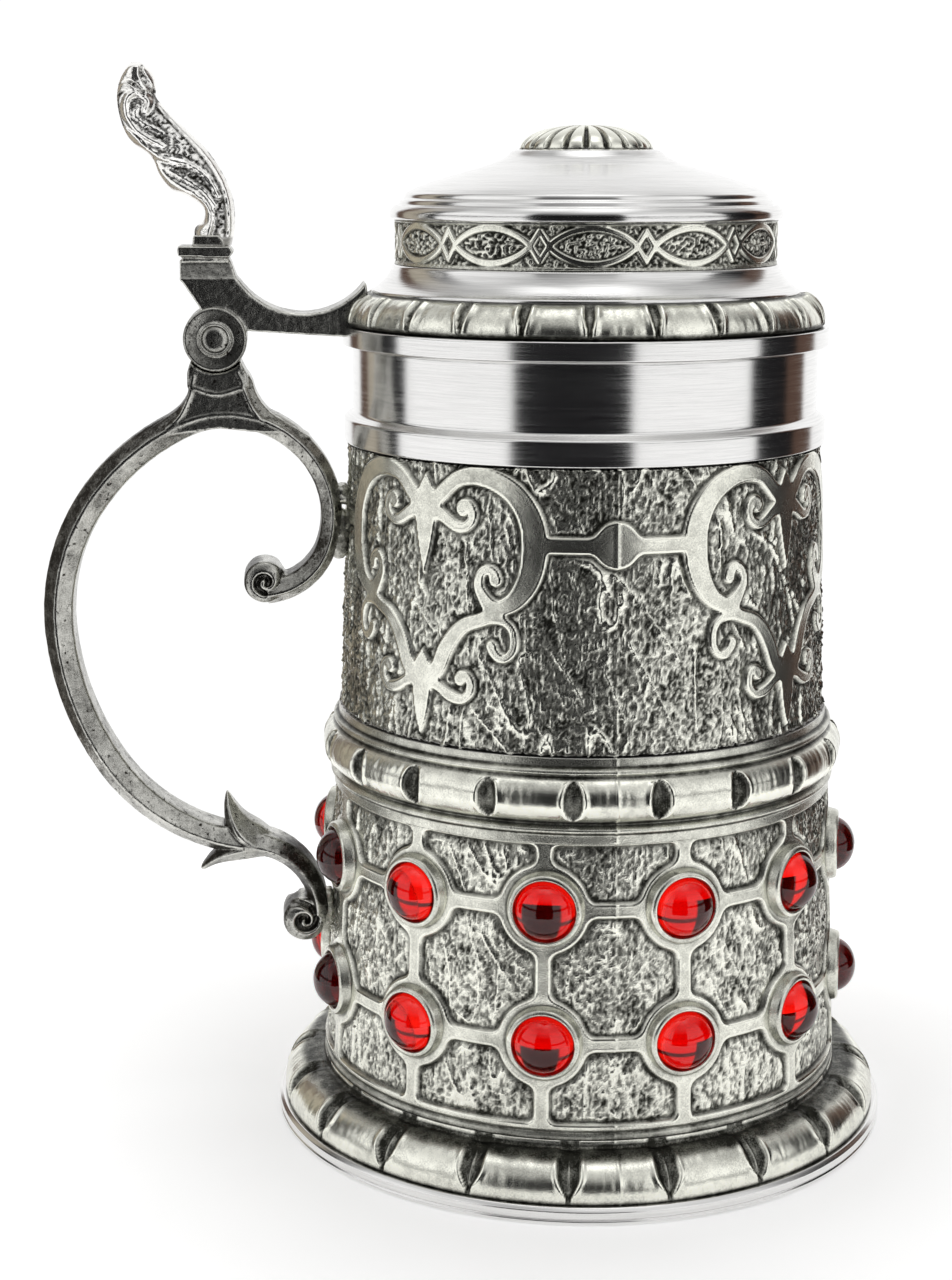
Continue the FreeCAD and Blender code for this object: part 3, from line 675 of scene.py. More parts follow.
def bark(azimuth, height, radius, seed):
    """The chased ground: upright grain, a web of ridges, small beads, wiggly folds and long veins."""

    def noise(across, up, cell, layer):
        return wrapped_noise(across, up, radius, cell, seed + layer)

    drift = noise(azimuth, height, (9, 14), 0)
    jitter = noise(azimuth, height, (2.6, 4.5), 1)
    sway = noise(azimuth, height, (1.6, 1.9), 9)
    grain = noise(azimuth + 0.7 * drift + 1.1 * sway, height + 0.8 * jitter, (0.55, 1.5), 2)
    cell = noise(azimuth + 1.2 * jitter, height + 0.7 * sway, (0.9, 1.1), 3)
    web = np.clip(1 - np.abs(cell) / 0.22, 0, 1) - 0.4
    swell = noise(azimuth, height, (3.2, 6.0), 4)
    fold = noise(azimuth + 2.2 * drift + 0.5 * jitter, height, (1.5, 9), 5)
    vein = noise(azimuth + 4 * drift + 0.5 * jitter, height, (5.0, 24), 6)
    slant = noise(azimuth + 0.55 * height, height, (6.5, 30), 7)
    chance = noise(azimuth, height, (12, 10), 8)
    chains = round(2 * math.pi * float(np.mean(radius)) / 1.1)
    across = np.radians(azimuth * chains) + 4.0 * drift + 1.5 * jitter
    up = 2 * math.pi * height / 1.3 + 5.0 * jitter + 3.0 * drift
    beads = np.cos(across) * (0.35 + 0.65 * np.cos(up)) * smooth_step(-0.15, 0.2, chance)
    wiggle = np.clip(1 - np.abs(fold) / 0.1, 0, 1) - 0.25
    ridge = np.clip(1 - np.abs(vein) / 0.04, 0, 1) ** 0.6 * smooth_step(-0.15, 0.02, chance)
    stroke = np.clip(1 - np.abs(slant) / 0.03, 0, 1) ** 0.6 * smooth_step(0.08, -0.1, chance)
    rough = 0.4 * grain + 0.34 * web + 0.13 * beads + 0.22 * swell
    return 0.22 + rough + 0.15 * wiggle + 0.65 * np.maximum(ridge, stroke)


def raised_work(distance, texture, azimuth, height, radius, seed, polish):
    """Flat raised bands where distance is negative, over a ground whose pits hold patina."""
    band = 1 - smooth_step(-0.2, 0.2, distance)
    ditch = bell(distance, 0.45, 0.4)
    edge = bell(distance, -0.3, 0.2)
    texture = texture * smooth_step(0.1, 0.8, distance)
    ground = 0.62 * texture
    lift = -0.7 + ground + (0.7 - ground) * band - 0.1 * ditch
    lift = lift + dents(azimuth, height, radius, seed) + 0.07 * edge
    shine = 0.04 + 0.86 * smooth_step(-0.05, 0.5, texture)
    wear_and_shade = shine * (1 - band) * (1 - 0.45 * ditch) + polish * band + 0.3 * edge
    return lift, wear_and_shade


def tapered_side(low, high, foot, head, spacing):
    """The straight outer side of a sleeve, in rows of that spacing."""
    height = np.linspace(low, high, round((high - low) / spacing))
    return np.stack([foot + (head - foot) * (height - low) / (high - low), height], 1)


GEM_SEATS = {"upper": 43.2, "lower": 44.1}
GEM_BOXES = {row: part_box(f"gem_{row}_01") for row in GEM_SEATS}
GEM_HEIGHTS = {row: (low.z + high.z) / 2 / MM for row, (low, high) in GEM_BOXES.items()}
PAD_RADIUS = 7.5
STRAP_HALF = 1.28
GEMS_TO_A_ROW = 12


def gem_spacing(azimuth, radius):
    """Distance round the barrel from the nearest column of gems."""
    return lobe_offset(azimuth, 180 / GEMS_TO_A_ROW, GEMS_TO_A_ROW, radius)


def make_lower_barrel():
    low, high = FOOT_TOP, BELT_LOW
    outer = tapered_side(low, high, LOWER_FOOT, LOWER_HEAD, ROW_SPACING)
    inner = [(LOWER_HEAD - WALL + d, high - (high - low) * d / 2.3) for d in (0, 0.8, 1.6, 2.3)]

    def relief(azimuth, radius, height):
        across = gem_spacing(azimuth, radius)
        bands = np.abs(across) - STRAP_HALF
        for row_height in GEM_HEIGHTS.values():
            bands = soft_min(bands, np.abs(height - row_height + 0.2) - STRAP_HALF, 2.2)
        for row_height in GEM_HEIGHTS.values():
            bands = soft_min(bands, np.hypot(across, height - row_height + 0.2) - PAD_RADIUS, 1.6)
        bands = soft_min(bands, height - 13.4, 1.6)
        bands = soft_min(bands, high - 0.3 - height, 1.6)
        texture = 0.07 + 0.8 * bark(azimuth, height, radius, 20)
        lift, wear_and_shade = raised_work(bands, texture, azimuth, height, radius, 31, 0.66)
        for row_height in GEM_HEIGHTS.values():
            centre = np.hypot(across, height - row_height)
            lift = lift - (lift + 1.5) * (1 - smooth_step(5.2, 5.5, centre))
            wear_and_shade = wear_and_shade * (0.25 + 0.75 * smooth_step(6.1, 6.7, centre))
        line = bell(height, low + 1.2, 0.28)
        wear_and_shade = wear_and_shade * (0.3 + 0.7 * smooth_step(low + 0.2, low + 1.0, height)) * (1 - 0.8 * line)
        return lift - 0.3 * line + seam(azimuth, radius), wear_and_shade

    relief_ring("lower_barrel", "vessel", outer, inner, 1000, relief)


# Half of one strapwork cartouche, as tapered strokes through (across from its upright axis,
# height, half width). The other half is its mirror image.
CARTOUCHE = {
    "upper_spear": [
        (0, 118.0, 0.05), (0, 116.8, 0.8), (0, 115.2, 1.6), (0, 113.2, 2.4), (0, 111.2, 2.3),
        (0, 108.0, 1.75), (0, 105.3, 1.15), (0, 103.0, 0.55), (0, 101.2, 0.05),
    ],
    "lower_spear": [
        (0, 89.7, 0.05), (0, 88.4, 0.8), (0, 86.6, 1.8), (0, 84.6, 2.2), (0, 82.5, 1.95),
        (0, 80.0, 1.6), (0, 77.9, 1.1), (0, 76.4, 0.55), (0, 75.3, 0.05),
    ],
    "great_scroll": [
        (1.1, 112.8, 1.5), (3.5, 115.0, 1.45), (6.2, 117.2, 1.35), (9.4, 118.0, 1.5),
        (12.7, 117.6, 1.7), (15.9, 116.0, 1.85), (18.1, 113.6, 2.0), (19.5, 110.6, 2.15),
        (19.9, 107.5, 2.2), (19.6, 104.2, 2.1), (18.6, 101.2, 1.9), (16.9, 98.8, 1.6),
        (14.8, 97.5, 1.4), (13.2, 97.1, 1.4),
    ],
    "upper_curl": [
        (1.4, 112.3, 1.5), (3.6, 111.3, 1.15), (5.1, 110.4, 1.05), (6.5, 109.8, 0.95),
        (8.0, 109.9, 0.9), (9.1, 111.0, 0.9), (9.2, 112.5, 0.9), (8.4, 113.5, 0.9),
        (7.5, 113.2, 1.1), (7.4, 112.7, 1.25),
    ],
    "middle_curl": [
        (13.2, 97.0, 1.6), (11.7, 98.7, 1.2), (10.6, 100.7, 0.95), (10.9, 102.6, 0.85),
        (12.0, 103.4, 0.85), (13.1, 102.9, 1.0), (13.5, 101.8, 1.15),
    ],
    "lower_arm": [
        (13.0, 96.2, 1.3), (10.9, 95.2, 1.15), (8.3, 94.2, 1.25), (6.3, 92.4, 1.4),
        (4.6, 89.8, 1.5), (3.4, 87.0, 1.5), (1.8, 85.2, 1.6),
    ],
    "side_curl": [
        (13.4, 96.0, 1.2), (15.2, 95.2, 0.75), (16.4, 94.0, 0.75), (16.8, 92.2, 0.75),
        (16.5, 90.6, 0.75), (15.5, 89.5, 0.75), (14.3, 89.5, 0.85), (13.4, 90.3, 0.9),
        (13.0, 91.2, 1.0),
    ],
    "lower_curl": [
        (1.6, 84.8, 1.3), (3.6, 83.7, 0.95), (5.1, 82.8, 1.0), (6.5, 82.3, 1.0),
        (8.0, 82.2, 0.85), (9.2, 83.3, 0.85), (9.5, 84.8, 0.85), (8.8, 86.0, 0.85),
        (7.7, 86.0, 0.9), (7.5, 85.4, 1.1),
    ],
    "link": [(19.9, 107.6, 1.35), (33.5, 107.6, 1.35)],
}
CARTOUCHE_AZIMUTH = 45.6
BOSS_RADIUS = 3.8
BOSS_HEIGHT = 107.7


def strapwork_distance(azimuth, height):
    """Distance outside the four cartouches and the bosses that link them."""
    radius = (UPPER_FOOT + UPPER_HEAD) / 2
    folded = np.abs(azimuth)
    folded = np.where(folded > 90, 180 - folded, folded)
    across = np.abs(np.radians(folded - CARTOUCHE_AZIMUTH) * radius)
    bands = None
    for stroke in CARTOUCHE.values():
        distance = stroke_distance(across, height, stroke)
        bands = distance if bands is None else soft_min(bands, distance, 0.5)
    to_boss = np.radians(np.minimum(folded, 90 - folded)) * radius
    boss = np.hypot(to_boss, height - BOSS_HEIGHT) - BOSS_RADIUS
    return soft_min(bands, boss, 1.2)


def make_upper_barrel():
    low, high = BELT_TOP, STEP_LOW
    outer = tapered_side(low, high, UPPER_FOOT, UPPER_HEAD, ROW_SPACING)
    inner = [(UPPER_HEAD - WALL + d, high - (high - low) * d / 1.9) for d in (0, 0.6, 1.2, 1.9)]

    def relief(azimuth, radius, height):
        bands = strapwork_distance(azimuth, height)
        texture = bark(azimuth, height, radius, 50)
        lift, wear_and_shade = raised_work(bands, texture, azimuth, height, radius, 61, 0.76)
        edge = smooth_step(low + 0.1, low + 0.7, height)
        return lift + seam(azimuth, radius), wear_and_shade * (0.4 + 0.6 * edge)

    relief_ring("upper_barrel", "vessel", outer, inner, 960, relief)


def make_belt():
    middle = (BELT_LOW + BELT_TOP) / 2 + 0.3
    bead = 43.4
    head = LOWER_HEAD
    lower = [
        (head, BELT_LOW), (head, 61.7), (head + 0.55, 62.1), (head + 0.6, 62.6), (head - 0.1, 63.1),
        (bead - 0.3, middle - 4.0),
    ]
    upper = [
        (bead - 0.3, middle + 3.7), (bead - 0.1, 71.3), (bead + 0.15, 71.7), (bead, 72.1),
        (UPPER_FOOT + 0.1, 72.5), (UPPER_FOOT, BELT_TOP),
    ]
    outer = np.vstack([
        divided(eased(lower, 0.25, False), 0.5, False),
        arc_points((bead, middle - 3.7), (bead, middle + 3.4), 4.3, 1, 40),
        divided(eased(upper, 0.2, False), 0.5, False),
    ])
    inner = [(UPPER_FOOT - WALL, BELT_TOP), (UPPER_FOOT - WALL, 67.0), (head - WALL, BELT_LOW)]

    def relief(azimuth, radius, height):
        share = np.clip(1 - ((height - middle) / 3.2) ** 2, 0, 1)
        offset = lobe_offset(azimuth, FIRST_NOTCH, BELT_LOBES, 45.9)
        lift, wear_and_shade = notch_relief(offset, 1.75 * np.sqrt(share), 1.05)
        lift = (lift + tooled(azimuth, height, 46, 7)) * smooth_step(0, 0.3, share)
        wear_and_shade = 0.62 + (wear_and_shade - 0.62) * (share > 0)
        crease = bell(height, middle - 3.75, 0.35) + bell(height, middle + 3.65, 0.3)
        crease = crease + bell(height, 61.8, 0.25) + bell(height, 72.5, 0.25)
        lift = lift + dents(azimuth, height, 44, 8) + seam(azimuth, 44)
        return lift, np.clip(wear_and_shade - 0.75 * crease, 0, 1)

    relief_ring("belt_ring", "vessel", outer, inner, 1100, relief)


def make_collar():
    corners = [
        (UPPER_HEAD - WALL, STEP_LOW), (STEP_RADIUS, STEP_LOW, 0.3), (STEP_RADIUS, STEP_LOW + 4.1, 0.35),
        (COLLAR_RADIUS + 0.25, STEP_LOW + 4.85, 0.3), (COLLAR_RADIUS, STEP_LOW + 5.2, 0.2),
        (COLLAR_RADIUS, LIP_TOP, 0.5), (COLLAR_RADIUS - WALL, LIP_TOP, 0.5),
        (COLLAR_RADIUS - WALL, STEP_LOW + 4),
    ]
    turned_piece("lip_collar", "vessel", corners, POLISHED, 0.2, 384)


# ---------------------------------------------------------------- gems


def gem_frame(name):
    """Centre of a gem's seat and the axes of its seat: across, up, outwards."""
    low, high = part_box(name)
    middle = (low + high) / 2 / MM
    outward = Vector((middle.x, middle.y, 0)).normalized()
    across = Vector((-outward.y, outward.x, 0))
    centre = outward * GEM_SEATS[name.split("_")[1]] + Vector((0, 0, middle.z))
    return np.array([centre, across, (0, 0, 1), outward], float)


def placed_lathe(axes, profile, columns, closed=False):
    """A profile of (radius, height) turned about the last of the axes, from the centre given first."""
    centre, across, up, outward = axes
    angle = np.arange(columns) * 2 * math.pi / columns
    ring = np.cos(angle)[:, None] * across + np.sin(angle)[:, None] * up
    rows = [centre + radius * ring + height * outward for radius, height in profile]
    return np.concatenate(rows), grid_faces(len(profile), columns, closed)


def gem_profile():
    """Flat base, short girdle and a dome that is a little fuller than an ellipse."""
    angle = np.linspace(0, math.pi / 2, 22)
    dome = np.stack([GEM_RADIUS * np.cos(angle), 1.2 + 4.1 * np.sin(angle)], 1)
    base = eased([(0.0, 0.0), (GEM_RADIUS - 0.05, 0.0, 0.2), (GEM_RADIUS, 1.1)], 0.2, False)
    return np.vstack([[(1e-6, 0.0)], divided(base[1:], 0.6, False), dome[:-1], [(1e-6, 5.3)]])


def collet_profile():
    """The setting: polished cup floor, rim standing round the gem, and its outer slope."""
    corners = [
        (1e-6, -1.3), (6.2, -1.3, 0), (6.35, 0.6, 0.3), (5.95, 2.25, 0.45), (5.1, 2.45, 0.35),
        (4.88, 1.3, 0.1), (4.88, -0.12, 0.1), (1e-6, -0.12),
    ]
    return divided(eased(corners, 0.2, False), 1.0, False)


def make_gems():
    """Each stone, and the settings of each row with the mirror foil under their stones."""
    profile = collet_profile()
    under_gem = (profile[1:, 0] < 4.6) & (profile[1:, 1] > -0.6)
    slots = np.tile(np.repeat(under_gem.astype(int), GEM_COLUMNS), GEMS_TO_A_ROW)
    # Painted shade: inside radius 4.9 the collets' inner wall round each stone is darkened to 0.4, as the
    # deep gap between stone and rim looks in shade.
    shade = 0.4 + 0.6 * smooth_step(4.9, 5.15, profile[:, 0])
    shade = np.tile(np.repeat(shade, GEM_COLUMNS), GEMS_TO_A_ROW)
    for row in GEM_SEATS:
        shells = []
        for number in range(1, GEMS_TO_A_ROW + 1):
            name = f"gem_{row}_{number:02d}"
            axes = gem_frame(name)
            gem = add_object(name, *placed_lathe(axes, gem_profile(), GEM_COLUMNS), [GLASS])
            weld(gem)
            settle(gem, "vessel", name)
            shells.append(placed_lathe(axes, profile, GEM_COLUMNS))
        collets = add_object(f"collets_{row}", *joined(shells), [ANTIQUED, FOIL], slots)
        store_wear_and_shade(collets.data, shade * (0.3 + 0.6 * curvature_wear(collets.data, 1.6, 1)))
        weld(collets)
        settle(collets, "vessel")


# ---------------------------------------------------------------- lid


def make_lid_rings():
    rim_low = LIP_TOP + 0.12
    rim = [
        (35.2, rim_low - 1.2), (36.8, rim_low - 1.2), (36.8, rim_low, 0.1),
        (LID_RADIUS, rim_low, 0.2), (LID_RADIUS, RIM_TOP, 0.3), (35.2, RIM_TOP),
    ]
    turned_piece("lid_rim", "lid", rim, POLISHED, 0.2, 384)

    cushion = arc_points((40.55, RIM_TOP + 0.5), (36.7, CUSHION_TOP - 0.1), 5.2, 1, 34)
    outer = np.vstack([[(39.6, RIM_TOP), (40.2, RIM_TOP + 0.1)], cushion, [(36.3, CUSHION_TOP)]])
    inner = [(34.2, CUSHION_TOP), (37.8, RIM_TOP)]

    def relief(azimuth, radius, height):
        share = np.clip((height - RIM_TOP - 0.5) / (CUSHION_TOP - RIM_TOP - 0.6), 0, 1)
        half = 0.35 + 0.6 * smooth_step(0.1, 0.8, share)
        offset = lobe_offset(azimuth, FIRST_LID_NOTCH, LID_LOBES, 40.0)
        lift, wear_and_shade = notch_relief(offset, half, 1.0, 0.2)
        side = np.abs(offset)
        curl = 0.16 * bell(side, half + 0.45, 0.4)
        trough = bell(side, half + 1.5, 0.6)
        puff = 0.12 * (1 - (offset / 5.2) ** 2)
        inside = smooth_step(0.0, 0.1, share) * (1 - smooth_step(0.92, 1.0, share))
        lift = (lift + curl - 0.09 * trough + puff + tooled(azimuth, height, 40, 15)) * inside - 0.06
        wear_and_shade = np.clip(wear_and_shade - 0.12 * trough, 0, 1)
        wear_and_shade = wear_and_shade * smooth_step(0.0, 0.14, share) * (1 - 0.8 * smooth_step(0.93, 1, share))
        return lift + dents(azimuth, height, 39, 12), wear_and_shade

    relief_ring("lid_gadroon_ring", "lid", outer, inner, 1050, relief)

    sweep = arc_points((36.2, CUSHION_TOP + 0.4), (FRIEZE_RADIUS + 0.25, FRIEZE_LOW - 0.15), 7.7, -1, 22)
    corners = [(34.2, CUSHION_TOP), (36.2, CUSHION_TOP, 0.1)]
    corners += [(r, z, 0) for r, z in sweep]
    corners += [(FRIEZE_RADIUS, FRIEZE_LOW, 0), (FRIEZE_RADIUS - LID_WALL, FRIEZE_LOW)]
    turned_piece("lid_flare", "lid", corners, POLISHED, 0.1, 320)


FRIEZE_REPEATS = 12
OVAL_AZIMUTH = -5.5
OVAL_HALF_ANGLE = 12.3


def oval_rise(angle):
    """Half the height of a pointed oval, at an angle from its middle."""
    return 2.75 * np.clip(1 - (angle / OVAL_HALF_ANGLE) ** 2, 0, None) ** 0.85


def frieze_lines(azimuth, height):
    """Distance from the pair of crossing lines that draw the ovals and diamonds."""
    pitch = 360 / FRIEZE_REPEATS
    middle = (FRIEZE_LOW + FRIEZE_TOP) / 2 + 0.2
    scale = math.radians(1) * FRIEZE_RADIUS
    angles = np.linspace(-pitch / 2, pitch / 2, 90)
    tent = 2.3 * np.clip((np.abs(angles) - OVAL_HALF_ANGLE) / (pitch / 2 - OVAL_HALF_ANGLE), 0, 1)
    rise = oval_rise(angles) + tent
    nearest = (azimuth - OVAL_AZIMUTH + pitch / 2) % pitch - pitch / 2
    across = nearest * scale
    up = np.abs(height - middle)
    best = np.full(np.broadcast(across, up).shape, 1e3)
    for angle, line in zip(angles, rise):
        for turn in (-pitch, 0, pitch):
            if abs(angle + turn) > pitch / 2 + 3:
                continue
            np.minimum(best, np.hypot(across - (angle + turn) * scale, up - line), out=best)
    return best, up < oval_rise(nearest)


def make_frieze():
    count = round((FRIEZE_TOP - FRIEZE_LOW) / 0.15)
    height = np.linspace(FRIEZE_LOW, FRIEZE_TOP, count)
    outer = np.stack([np.full(count, FRIEZE_RADIUS), height], 1)
    inner = [(FRIEZE_RADIUS - LID_WALL, FRIEZE_TOP), (FRIEZE_RADIUS - LID_WALL, FRIEZE_LOW)]

    def relief(azimuth, radius, height):
        line, in_oval = frieze_lines(azimuth, height)
        band = 1 - smooth_step(0.4, 0.66, line)
        stipple = wrapped_noise(azimuth, height, radius, (0.62, 0.56), 70)
        stipple = stipple + 0.5 * wrapped_noise(azimuth, height, radius, (0.5, 0.5), 71)
        grains = smooth_step(-0.22, 0.22, stipple)
        calm = smooth_step(0.65, 1.0, line)
        border = smooth_step(FRIEZE_LOW + 0.75, FRIEZE_LOW + 0.5, height)
        border = np.maximum(border, smooth_step(FRIEZE_TOP - 0.45, FRIEZE_TOP - 0.25, height))
        field = np.where(in_oval, 0.4 * grains, 0.33 * grains) * calm
        floor = np.where(in_oval, -0.5, -0.62)
        lift = floor + field
        lift = lift + (-0.04 - lift) * np.maximum(band, border * 0.85)
        shine = np.where(in_oval, 0.8, 0.62) * grains * calm
        wear_and_shade = np.maximum(shine, 0.92 * band)
        wear_and_shade = np.maximum(wear_and_shade, border * 0.55)
        return lift, wear_and_shade

    relief_ring("frieze_band", "lid", outer, inner, 1020, relief)


def make_cap():
    low = FRIEZE_TOP
    cone = [
        (CAP_RADIUS - 4.25, low + 5.2), (25.9, 162.9), (22.9, 163.85), (19.4, 164.8),
        (16.0, 165.8), (13.5, 166.9), (12.5, CAP_TOP - 0.25, 0.2), (11.6, CAP_TOP, 0.1),
    ]
    corners = [
        (0, CAP_TOP - LID_WALL),
        (12.4, CAP_TOP - LID_WALL - 1),
        (CAP_RADIUS - 5.3, low + 3.2),
        (FRIEZE_RADIUS - LID_WALL, low),
        (FRIEZE_RADIUS, low, 0.1),
        (CAP_RADIUS, low + 0.35, 0.3),
        (CAP_RADIUS, low + 1.5, 0.5),
        (CAP_RADIUS - 0.7, low + 2.35, 0.2),
        (CAP_RADIUS - 1.5, low + 2.5, 0.2),
        (CAP_RADIUS - 1.8, low + 3.3, 0.3),
        (CAP_RADIUS - 2.4, low + 3.55, 0.2),
        (CAP_RADIUS - 2.6, low + 4.3, 0.4),
    ]
    corners += [corner if len(corner) > 2 else (*corner, 0.8) for corner in cone]
    corners += [(0, CAP_TOP)]
    turned_piece("lid_cap", "lid", corners, POLISHED, 0.3, 384)


def make_finial():
    """A low dome cut into tapering petals by curved grooves."""
    base, crown = levels("finial")
    radius = reach("finial")
    petals = 20
    columns = petals * 24
    share = np.linspace(0, 1, 46)
    angle = share * math.pi / 2
    profile = np.stack([radius * np.cos(angle) ** 0.85, base + (crown - base) * np.sin(angle)], 1)
    azimuth = np.arange(columns)[None, :] * 360 / columns
    ring = profile[:, :1]
    offset = np.abs(lobe_offset(azimuth, -7.7, petals, ring))
    width = 0.16 + 0.05 * ring
    room = np.radians(180 / petals) * ring
    groove = 1 - smooth_step(0.25, 1.0, offset / np.maximum(width, 0.05))
    swell = np.sqrt(np.clip(1 - (1 - offset / np.maximum(room, 1e-3)) ** 2, 0, 1))
    fade = smooth_step(0.0, 0.1, share)[:, None] * smooth_step(0.6, 3.0, ring)
    lift = (-0.75 * groove - 0.25 * (1 - swell)) * fade
    wear_and_shade = 1.0 - groove * smooth_step(0.6, 3.0, ring)
    wear_and_shade = wear_and_shade * smooth_step(-0.02, 0.08, share)[:, None]
    points = turned_points(profile, columns)
    slope = np.gradient(profile, axis=0)
    normal = np.stack([slope[:, 1], -slope[:, 0]], 1)
    normal /= np.linalg.norm(normal, axis=1, keepdims=True)
    turn = np.radians(azimuth)
    points[..., 0] += normal[:, :1] * lift * np.sin(turn)
    points[..., 1] -= normal[:, :1] * lift * np.cos(turn)
    points[..., 2] += normal[:, 1:] * lift
    foot = np.zeros((1, columns, 3))
    foot[..., 2] = base
    points = np.concatenate([foot, points])
    points[-1, :, :2] = 0
    points[-1, :, 2] = crown
    wear_and_shade = np.concatenate([np.zeros((1, columns)), wear_and_shade])
    faces = grid_faces(len(points), columns, False)
    made = add_object("finial", points.reshape(-1, 3), faces, [ANTIQUED], None, wear_and_shade)
    weld(made)
    settle(made, "lid", "finial")


# ---------------------------------------------------------------- handle

# The strap's centre line: where it leaves the upper volute, its heading in degrees above +X,
# and its bends as (radius, turn in degrees, half thickness at the bend's end).
STRAP_START = (-54.6, 94.1)
UPPER_VOLUTE = np.array([-55.0, 96.0])
LOWER_VOLUTE = np.array([-49.2, 35.3])
STRAP_HEADING = 2.5
STRAP_BENDS = [
    (11.3, 66.5, 1.8), (16.7, 56.0, 1.9), (17.9, 80.0, 2.4), (38.5, 28.0, 2.6),
    (35.0, 41.0, 2.6), (49.6, 29.5, 2.6), (33.0, 50.5, 2.3), (-12.6, 86.0, 1.6),
]
STRAP_HALF_WIDTH = 4.7
STRAP_SECTION = [
    (-0.2, -1.0), (-0.94, -0.42), (-0.98, -0.3), (-0.98, 0.0), (-0.98, 0.3), (-0.94, 0.42),
    (-0.2, 1.0), (-0.06, 1.0), (0.94, 0.7), (1.0, 0.56), (1.0, 0.0), (1.0, -0.56),
    (0.94, -0.7), (-0.06, -1.0),
]


def strap_stations():
    x, z = STRAP_START
    heading = math.radians(STRAP_HEADING)
    half = 2.3
    stations = [(x, z, heading, half, STRAP_HALF_WIDTH)]
    for radius, turn, end_half in STRAP_BENDS:
        steps = max(4, round(turn / 4))
        turned = math.copysign(math.radians(turn) / steps, radius)
        chord = 2 * abs(radius) * math.sin(abs(turned) / 2)
        for step in range(1, steps + 1):
            x += math.cos(heading + turned / 2) * chord
            z += math.sin(heading + turned / 2) * chord
            heading += turned
            grown = half + (end_half - half) * step / steps
            stations.append((x, z, heading, grown, STRAP_HALF_WIDTH))
        half = end_half
    return stations


def volute_shell(centre, radius, half_width, first_angle, turns):
    """A scroll end: a disc with a spiral groove that winds clockwise into both faces."""
    t = np.linspace(0, 1, 160)
    angle = math.radians(first_angle) - 2 * math.pi * turns * t
    spiral = 0.5 + 1.8 * (1 - t) + (radius - 2.2) * (1 - t) ** 9
    groove = centre + np.stack([spiral * np.cos(angle), spiral * np.sin(angle)], 1)
    columns = 96
    rings = np.concatenate([np.linspace(0, radius - 0.35, 30), [radius - 0.12, radius]])
    depth = 1.0 * (rings / radius) ** 2 + np.concatenate([np.zeros(30), [0.12, 0.45]])
    around = np.arange(columns) * 2 * math.pi / columns
    rows = []
    for ring, drop in zip(rings, depth):
        place = centre + ring * np.stack([np.cos(around), np.sin(around)], 1)
        near = np.min(np.linalg.norm(place[:, None] - groove[None], axis=2), axis=1)
        carved = 1.5 * (1 - smooth_step(0.2, 0.6, near))
        crown = 0.25 * smooth_step(0.4, 0.9, near)
        rows.append(np.stack([place[:, 0], -(half_width + 0.1 - drop - carved + crown), place[:, 1]], 1))
    front = np.array(rows)
    back = front[::-1] * (1, -1, 1)
    points = np.concatenate([front, back]).reshape(-1, 3)
    faces = [list(face) for face in grid_faces(len(rings) * 2, columns, False)]
    return points, faces


def bevelled_shell(outer, inner, shoulder, face):
    """A closed slab whose outline shrinks from outer, at the shoulder offset, to inner at the face."""
    rings = [(inner, -face), (outer, -shoulder), (outer, shoulder), (inner, face)]
    points = [(x, side, z) for outline, side in rings for x, z in outline]
    columns = len(outer)
    faces = [list(quad) for quad in grid_faces(len(rings), columns, False)]
    faces.append(list(range(columns))[::-1])
    faces.append([3 * columns + index for index in range(columns)])
    return points, faces


def bracket_shells():
    """The flared gusset under the hinge: bevelled flanks, a cross rib and the head that holds the pin."""
    outer_left = [
        (-78.6, 118.4), (-75.8, 120.9), (-72.2, 123.4),
        (-68.8, 125.9), (-67.2, 128.6), (-66.9, 131.6),
    ]
    outer_right = [
        (-58.0, 132.6), (-56.6, 130.6), (-55.8, 128.0),
        (-53.8, 125.2), (-50.6, 123.0), (-46.8, 120.6),
    ]
    inner_left = [
        (-74.4, 120.6), (-71.0, 122.4), (-69.2, 123.8),
        (-68.0, 125.6), (-66.9, 128.2), (-66.2, 131.3),
    ]
    inner_right = [
        (-59.0, 131.7), (-58.2, 130.2), (-57.6, 128.2),
        (-56.5, 125.6), (-54.9, 123.6), (-51.2, 121.6),
    ]
    crown = [(-55.0, 121.6), (-62.0, 122.4), (-70.0, 121.4)]
    outer = np.vstack([even_curve(outer_left, 18), even_curve(outer_right, 18), crown])
    inner = np.vstack([even_curve(inner_left, 18), even_curve(inner_right, 18), crown])
    shells = [bevelled_shell(outer, inner, 2.9, 4.45)]
    for edge in (inner_left, inner_right[::-1]):
        bar = [(x, z, 0.42, 4.75) for x, z in edge[1:]]
        shells.append(swept_shell(path_stations(bar), ROUND_SECTION))
    rib = [(-66.9, 129.5, 0.45, 4.8), (-62.4, 128.2, 0.45, 4.8), (-58.0, 129.3, 0.45, 4.8)]
    shells.append(swept_shell(path_stations(rib), ROUND_SECTION))
    gap = 5.62
    dish = [
        (HINGE[0] + gap * math.cos(a), HINGE[1] + gap * math.sin(a))
        for a in np.radians(np.linspace(222, 318, 20))
    ]
    head = [(-67.3, 129.3), (-67.3, 131.6), (-66.9, 133.0)] + dish
    head += [(-58.1, 133.0), (-57.3, 131.4), (-57.1, 129.4), (-62.0, 128.3)]
    shells.append(slab_shell(head, -4.5, 4.5))
    return shells


def signed_power(value, power):
    return math.copysign(abs(value) ** power, value)


ROUND_SECTION = [
    (signed_power(math.cos(a), 0.7), signed_power(math.sin(a), 0.25))
    for a in np.radians(np.arange(7.5, 360, 15))
]
HORN_SECTION = [
    (-1.0, -0.3), (-0.9, -0.62), (-0.32, -1.0), (-0.14, -1.0), (0.9, -0.5), (1.0, -0.3),
    (1.0, 0.3), (0.9, 0.5), (-0.14, 1.0), (-0.32, 1.0), (-0.9, 0.62), (-1.0, 0.3),
]


